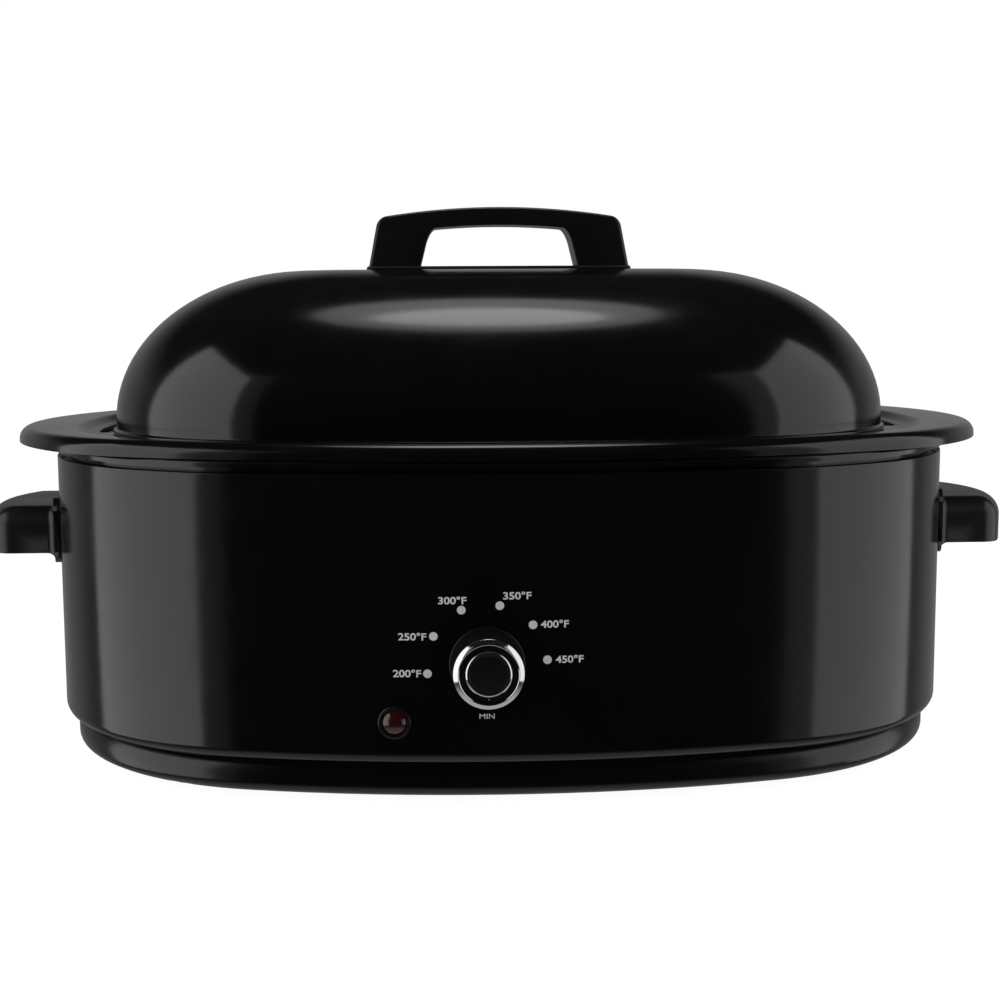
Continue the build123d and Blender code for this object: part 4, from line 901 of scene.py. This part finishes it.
class ROASTER_OT_knob(bpy.types.Operator):
    """Build the dial disc, knob body, bright rings, index point and cap"""

    bl_idname = "roaster.knob"
    bl_label = "Knob"

    def execute(self, context):
        s = context.scene.roaster_fitting
        shell = context.scene.roaster_shell
        looks = finishes()
        # Heights of the knob's foot, its sunk face, its top and the ledge that the outer ring lies on
        start = s.dial_thickness + s.knob_gap
        face = start + s.knob_length - s.face_depth
        top = start + s.knob_length
        ledge = top - s.ring_depth
        ring_round = 0.4 * MM
        hub_round = (s.hub_radius - s.cap_radius) / 3
        shaft_hole, shaft_top = 3 * MM, start + 14 * MM
        foot_top, ledge_radius = start + 2 * MM, s.ring_outer - 0.5 * MM
        hub_shoulder, hub_lip = top - 1.3 * MM, s.cap_radius + 0.9 * MM
        # Left open at the axis, where the spin would close it to a point
        pinhole, cap_pinhole = 0.1 * MM, 0.01 * MM
        disc_low, disc_bore = -0.2 * MM, shaft_hole + 1.5 * MM
        disc_section = collar(disc_bore, s.dial_radius, disc_low, s.dial_thickness)
        disc = turned("dial_plate", looks["black_plastic"], disc_section, bevels=((2, 0.6 * MM, 4),))
        body_section = (
            (shaft_hole, start), (s.knob_skirt, start), (s.knob_skirt, foot_top),
            (ledge_radius, ledge), (s.ring_inner, ledge), (s.ring_inner, face),
            (pinhole, face), (pinhole, shaft_top), (shaft_hole, shaft_top),
        )
        body_bevels = ((1, 0.4 * MM, 3), (2, 1.2 * MM, 4))
        body = turned("knob_moulding", looks["black_plastic"], body_section, bevels=body_bevels)
        ring_section = (
            (s.ring_inner, ledge), (s.ring_outer, ledge), (s.ring_outer, top - s.ring_slope),
            (s.ring_inner + ring_round, top), (s.ring_inner, top - ring_round),
        )
        ring_bevels = ((2, 0.35 * MM, 4), (3, 0.25 * MM, 3))
        outer = turned("knob_bright_ring", looks["chromed"], ring_section, 128, ring_bevels)
        hub_section = (
            (s.cap_radius, face), (s.hub_radius, face), (s.hub_radius, hub_shoulder),
            (hub_lip, top - hub_round), (s.cap_radius, top - hub_round),
        )
        hub_bevels = ((2, 0.25 * MM, 3), (3, 0.25 * MM, 3))
        hub = turned("knob_hub_ring", looks["chromed"], hub_section, 128, hub_bevels)
        cap_gap, cap_top = 0.02 * MM, top - 0.5 * MM - hub_round / 2
        cap_section = collar(cap_pinhole, s.cap_radius - cap_gap, face, cap_top)
        cap = turned("knob_centre_cap", looks["black_plastic"], cap_section, bevels=((2, hub_round, 4),))
        index = self.index_point(s, face, top, looks["chromed"])
        for piece in (disc, body, outer, hub, cap, index):
            self.place(piece, s, shell)
        seat(disc, "housing", "black_plastic", "dial_disc")
        seat(body, "knob", "black_plastic", "knob_body")
        seat(outer, "knob", "chromed", "knob_outer_ring")
        seat(hub, "knob", "chromed", "knob_inner_ring")
        seat(index, "knob", "chromed")
        seat(cap, "knob", "black_plastic", "knob_cap")
        return {"FINISHED"}

    def place(self, piece, s, shell):
        """Stand a turned piece on the dial's axis, which points straight forward."""
        axis = Matrix.Translation((s.dial_x, -shell.body_half_width, s.dial_z))
        piece.data.transform(axis @ FORWARD)

    def index_point(self, s, face, top, material):
        """The small pointed block that marks the setting, at the foot of the hub ring."""
        bm = bmesh.new()
        half, inner, tip = 1.2 * MM, -(s.hub_radius - 0.6 * MM), -(s.hub_radius + 1.3 * MM)
        below_top = 1.2 * MM
        corners = [bm.verts.new((x, y, face)) for x, y in ((-half, inner), (0, tip), (half, inner))]
        bm.faces.new(corners)
        raised(bm, (0, 0, top - face - below_top))
        outwards(bm)
        rounded(bm, bm.edges[:], 0.2 * MM, 2)
        return finish_mesh(bm, "knob_index_point", material)


class ROASTER_OT_lamp(bpy.types.Operator):
    """Build the pilot lamp's collar and domed lens"""

    bl_idname = "roaster.lamp"
    bl_label = "Pilot lamp"

    def execute(self, context):
        s = context.scene.roaster_fitting
        shell = context.scene.roaster_shell
        looks = finishes()
        depth = s.bezel_thickness
        # The collar starts inside the wall and clears the lens, which stands on a short straight foot
        sunk, clearance = -0.2 * MM, 0.05 * MM
        foot_z, shoulder_z = 0.5 * MM, depth - 0.9 * MM
        section = collar(s.lens_radius + clearance, s.bezel_radius, sunk, depth)
        bezel = turned("lamp_collar", looks["black_plastic"], section,
                       bevels=((2, 0.9 * MM, 6), (3, 0.4 * MM, 3)))
        bm = bmesh.new()
        start = bm.verts.new((s.lens_radius, 0, shoulder_z))
        rise = s.lens_rise + depth / 2 - start.co.z
        radius, half_turn = arc_over(s.lens_radius, rise)
        arc(bm, start, (0, 0, start.co.z + rise - radius), -half_turn, 14, axis=(0, 1, 0))
        foot = bm.verts.new((s.lens_radius, 0, foot_z))
        bm.edges.new((start, foot))
        full_turn(bm, bm.verts[:] + bm.edges[:], 64)
        outwards(bm)
        capped(bm, [e for e in bm.edges if e.is_boundary])
        outwards(bm)
        lens = finish_mesh(bm, "lamp_dome", looks["lamp_red"])
        for piece in (bezel, lens):
            out_of_wall(piece, s.lamp_x, s.lamp_z, shell)
        seat(bezel, "housing", "black_plastic", "lamp_bezel")
        seat(lens, "housing", "lamp_red", "lamp_lens")
        return {"FINISHED"}


class ROASTER_OT_scale(bpy.types.Operator):
    """Print the temperature scale on the front wall: dots, numerals and the lowest mark"""

    bl_idname = "roaster.scale"
    bl_label = "Scale print"

    def execute(self, context):
        s = context.scene.roaster_fitting
        shell = context.scene.roaster_shell
        ink = finishes()["ink"]
        bm = bmesh.new()
        # Angle of the lowest setting's dot, and the turn from one dot to the next
        first, step = radians(-170.8), radians(-37.18)
        for index in range(6):
            angle = first + index * step
            across, up = s.dot_circle * cos(angle), s.dot_circle * sin(angle)
            place = Matrix.Translation((s.dial_x + across, 0, s.dial_z + up))
            bmesh.ops.create_circle(
                bm, cap_ends=True, segments=32, radius=s.dot_size / 2, matrix=place @ FORWARD
            )
        dots = finish_mesh(bm, "scale_dots", ink, smooth=False)
        self.lay_on_wall(dots, shell, s.print_lift)
        seat(dots, "housing", "black_enamel")
        # Words, the places of their middles in mm and their sizes as shares of the numerals
        labels = (
            ("200°F", -55.0, 69.3, 1.0), ("250°F", -52.2, 88.0, 1.0), ("300°F", -32.1, 106.3, 1.0),
            ("350°F", 0.2, 108.5, 1.0), ("400°F", 18.9, 93.9, 1.0), ("450°F", 26.3, 75.9, 1.0),
            ("MIN", -15.2, 47.3, s.word_height / s.numeral_height),
        )
        for text, x, z, size in labels:
            self.label(text, x * MM, z * MM, size, s, ink, shell)
        return {"FINISHED"}

    def label(self, text, x, z, size, s, ink, shell):
        """One word of the scale, as a flat mesh on the wall; x and z are its middle."""
        curve = bpy.data.curves.new("scale_" + text.replace("°", ""), "FONT")
        curve.body = text
        curve.size = 1.0
        numeral = text[0].isdigit()
        curve.offset = s.numeral_weight if numeral else 0.0
        holder = bpy.data.objects.new("label", curve)
        bpy.context.scene.collection.objects.link(holder)
        depsgraph = bpy.context.evaluated_depsgraph_get()
        mesh = bpy.data.meshes.new_from_object(holder.evaluated_get(depsgraph), depsgraph=depsgraph)
        bpy.data.objects.remove(holder)
        piece = bpy.data.objects.new(curve.name, mesh)
        bpy.context.scene.collection.objects.link(piece)
        mesh.materials.clear()
        mesh.materials.append(ink)
        corners = [vertex.co.copy() for vertex in mesh.vertices]
        low = Vector([min(corner[axis] for corner in corners) for axis in range(3)])
        high = Vector([max(corner[axis] for corner in corners) for axis in range(3)])
        wide = size * (s.numeral_width if numeral else 1.5 * s.word_width)
        tall = size * s.numeral_height
        scale = Matrix.Diagonal((wide / (high.x - low.x), tall / (high.y - low.y), 1.0, 1.0))
        place = Matrix.Translation((x, 0, z)) @ FORWARD
        mesh.transform(place @ scale @ Matrix.Translation(-(low + high) / 2))
        self.lay_on_wall(piece, shell, s.print_lift)
        seat(piece, "housing", "black_enamel")

    def lay_on_wall(self, piece, shell, lift):
        """Bend a flat print onto the front wall."""
        for vertex in piece.data.vertices:
            vertex.co.y = front_wall(shell, vertex.co.x)[0] - lift
        piece.data.update()


class ROASTER_OT_small_pieces(bpy.types.Operator):
    """Give every remaining piece a smoothed copy or its own finish"""

    bl_idname = "roaster.small_pieces"
    bl_label = "Small pieces"

    smoothed = (
        "base_pan", "side_handle_left", "side_handle_right", "lid_handle_base", "cord_gland",
        "foot_front_left", "foot_front_right", "foot_rear_left", "foot_rear_right", "wire_rack",
    )

    def execute(self, context):
        looks = finishes()
        finish_of = {sub["node"]: sub["material_slot"] for sub in frame["record"]["subparts"]}
        bodies = frame["record"]["behaviour"]["bodies"]
        body_of = {node: body for body, nodes in bodies.items() for node in nodes}
        for node, solid in frame["nodes"].items():
            if solid.hide_render:
                continue
            slot = finish_of[node]
            if node in self.smoothed:
                bm = bmesh.new()
                bm.from_mesh(solid.data)
                bmesh.ops.remove_doubles(bm, verts=bm.verts, dist=TOUCH)
                piece = finish_mesh(bm, node + "_smoothed", looks[slot], sharp=32.0)
                seat(piece, body_of[node], slot, node)
            else:
                solid.data.materials.clear()
                solid.data.materials.append(looks[slot])
        return {"FINISHED"}


class ROASTER_OT_stage(bpy.types.Operator):
    """Set up the floor, background, lamps and camera"""

    bl_idname = "roaster.stage"
    bl_label = "Stage"

    # Name, place, the point that it looks at, size, power and shape
    lamps = (
        ("left_panel", (-0.95, -0.335, 0.38), (0.0, -0.335, 0.38), (0.93, 1.5), 6.1, "RECTANGLE"),
        ("left_fade", (-0.80, -0.78, 0.38), (-0.1, -0.1, 0.38), (0.24, 1.5), 0.2, "RECTANGLE"),
        ("right_panel", (0.95, -0.31, 0.38), (0.0, -0.31, 0.38), (0.92, 1.5), 4.9, "RECTANGLE"),
        ("right_fade", (0.84, -0.80, 0.38), (0.1, -0.1, 0.38), (0.26, 1.5), 0.33, "RECTANGLE"),
        ("overhead_panel", (0.02, 0.20, 1.5), (0.02, 0.20, 0.0), (0.84, 0.8), 2.3, "ELLIPSE"),
        ("overhead_core", (0.02, 0.12, 1.48), (0.02, 0.12, 0.0), (0.56, 0.4), 1.6, "ELLIPSE"),
    )

    def execute(self, context):
        s = context.scene.roaster_stage
        scene = context.scene
        scene.view_settings.view_transform = "Standard"
        self.camera(scene, s)
        self.floor()
        self.world(scene, s)
        for lamp in self.lamps:
            self.softbox(*lamp)
        return {"FINISHED"}

    def camera(self, scene, s):
        """The camera, with its axes from yaw, pitch and roll."""
        yaw, pitch, roll = s.camera_yaw, s.camera_pitch, s.camera_roll
        forward = Vector((sin(yaw) * cos(pitch), cos(yaw) * cos(pitch), -sin(pitch)))
        level = Vector((cos(yaw), -sin(yaw), 0))
        upright = level.cross(forward)
        right = cos(roll) * level + sin(roll) * upright
        up = -sin(roll) * level + cos(roll) * upright
        data = bpy.data.cameras.new("camera")
        data.lens = s.lens
        data.sensor_width = 36.0
        data.clip_start = 0.01
        camera = bpy.data.objects.new("camera", data)
        axes = Matrix((right, up, -forward)).transposed().to_4x4()
        camera.matrix_world = Matrix.Translation(s.camera_place) @ axes
        scene.collection.objects.link(camera)
        scene.camera = camera

    def floor(self):
        """A pale floor that shows white to the camera except in the object's shadow."""
        grey, glow_level, glow_share = 0.8, 1.2, 0.8
        bm = bmesh.new()
        bmesh.ops.create_grid(bm, x_segments=1, y_segments=1, size=4.0)
        material = bpy.data.materials.new("pale_floor")
        material.use_nodes = True
        tree = material.node_tree
        tree.nodes.clear()
        diffuse = tree.nodes.new("ShaderNodeBsdfDiffuse")
        diffuse.inputs["Color"].default_value = (grey, grey, grey, 1)
        glow = tree.nodes.new("ShaderNodeEmission")
        glow.inputs["Strength"].default_value = glow_level
        mix = tree.nodes.new("ShaderNodeMixShader")
        path = tree.nodes.new("ShaderNodeLightPath")
        share_seen = math_node(tree, "MULTIPLY", path.outputs["Is Camera Ray"], glow_share)
        tree.links.new(share_seen, mix.inputs["Fac"])
        tree.links.new(diffuse.outputs[0], mix.inputs[1])
        tree.links.new(glow.outputs[0], mix.inputs[2])
        out = tree.nodes.new("ShaderNodeOutputMaterial")
        tree.links.new(mix.outputs[0], out.inputs["Surface"])
        piece = finish_mesh(bm, "floor", material, smooth=False)
        piece.visible_glossy = False

    def world(self, scene, s):
        """White to the camera, softer for light, and dimmer where gloss, metal and glass mirror it."""
        light_level, floor_level, behind_level = 0.3, 0.45, 0.24
        world = bpy.data.worlds.new("studio")
        world.use_nodes = True
        tree = world.node_tree
        background = tree.nodes["Background"]
        path = tree.nodes.new("ShaderNodeLightPath")
        seen = path.outputs["Is Camera Ray"]
        glossy, through = path.outputs["Is Glossy Ray"], path.outputs["Is Transmission Ray"]
        mirrored = math_node(tree, "MAXIMUM", glossy, through)
        plain = math_node(tree, "SUBTRACT", 1.0, math_node(tree, "MAXIMUM", seen, mirrored))
        heading = tree.nodes.new("ShaderNodeTexCoord")
        apart = tree.nodes.new("ShaderNodeSeparateXYZ")
        tree.links.new(heading.outputs["Generated"], apart.inputs[0])
        below = ramp(tree, math_node(tree, "MULTIPLY", apart.outputs["Z"], -1.0), 0.45, 0.8)
        low = math_node(tree, "SUBTRACT", 1.0, ramp(tree, apart.outputs["Z"], 0.25, 0.5))
        behind = math_node(tree, "MULTIPLY", ramp(tree, apart.outputs["Y"], 0.15, 0.6), behind_level)
        behind = math_node(tree, "MULTIPLY", behind, low)
        mirror = math_node(tree, "ADD", s.mirrored_level, math_node(tree, "MULTIPLY", below, floor_level))
        mirror = math_node(tree, "MAXIMUM", mirror, behind)
        level = math_node(tree, "ADD", seen, math_node(tree, "MULTIPLY", mirrored, mirror))
        level = math_node(tree, "ADD", level, math_node(tree, "MULTIPLY", plain, light_level))
        tree.links.new(level, background.inputs["Strength"])
        background.inputs["Color"].default_value = (1, 1, 1, 1)
        scene.world = world

    def softbox(self, name, place, target, size, power, shape):
        """A flat soft lamp that looks at a point."""
        data = bpy.data.lights.new(name, "AREA")
        data.shape = shape
        data.size, data.size_y = size
        data.energy = power
        lamp = bpy.data.objects.new(name, data)
        aim = (Vector(target) - Vector(place)).to_track_quat("-Z", "Y")
        lamp.matrix_world = Matrix.Translation(place) @ aim.to_matrix().to_4x4()
        bpy.context.scene.collection.objects.link(lamp)


OPERATORS = (
    ROASTER_OT_body, ROASTER_OT_liner, ROASTER_OT_cookwell, ROASTER_OT_lid, ROASTER_OT_lid_handle,
    ROASTER_OT_knob, ROASTER_OT_lamp, ROASTER_OT_scale, ROASTER_OT_small_pieces, ROASTER_OT_stage,
)


class ROASTER_PT_panel(bpy.types.Panel):
    """Lists the roaster's operators"""

    bl_idname = "ROASTER_PT_panel"
    bl_label = "Roaster oven"
    bl_space_type = "VIEW_3D"
    bl_region_type = "UI"
    bl_category = "Roaster"

    def draw(self, context):
        for operator in OPERATORS:
            self.layout.operator(operator.bl_idname)


CLASSES = GROUPS + OPERATORS + (ROASTER_PT_panel,)
POINTERS = {
    "roaster_shell": ShellSettings, "roaster_fitting": FittingSettings, "roaster_finish": FinishSettings,
    "roaster_stage": StageSettings,
}


def register():
    """Register the classes and hang the settings on the scene."""
    for cls in CLASSES:
        bpy.utils.register_class(cls)
    for name, group in POINTERS.items():
        setattr(bpy.types.Scene, name, PointerProperty(type=group))


def unregister():
    """Take the settings and classes away again."""
    for name in POINTERS:
        delattr(bpy.types.Scene, name)
    for cls in reversed(CLASSES):
        bpy.utils.unregister_class(cls)


def main():
    """Build every piece in order."""
    register()
    for operator in OPERATORS:
        getattr(bpy.ops.roaster, operator.bl_idname.split(".")[1])()


if __name__ == "__main__":
    main()
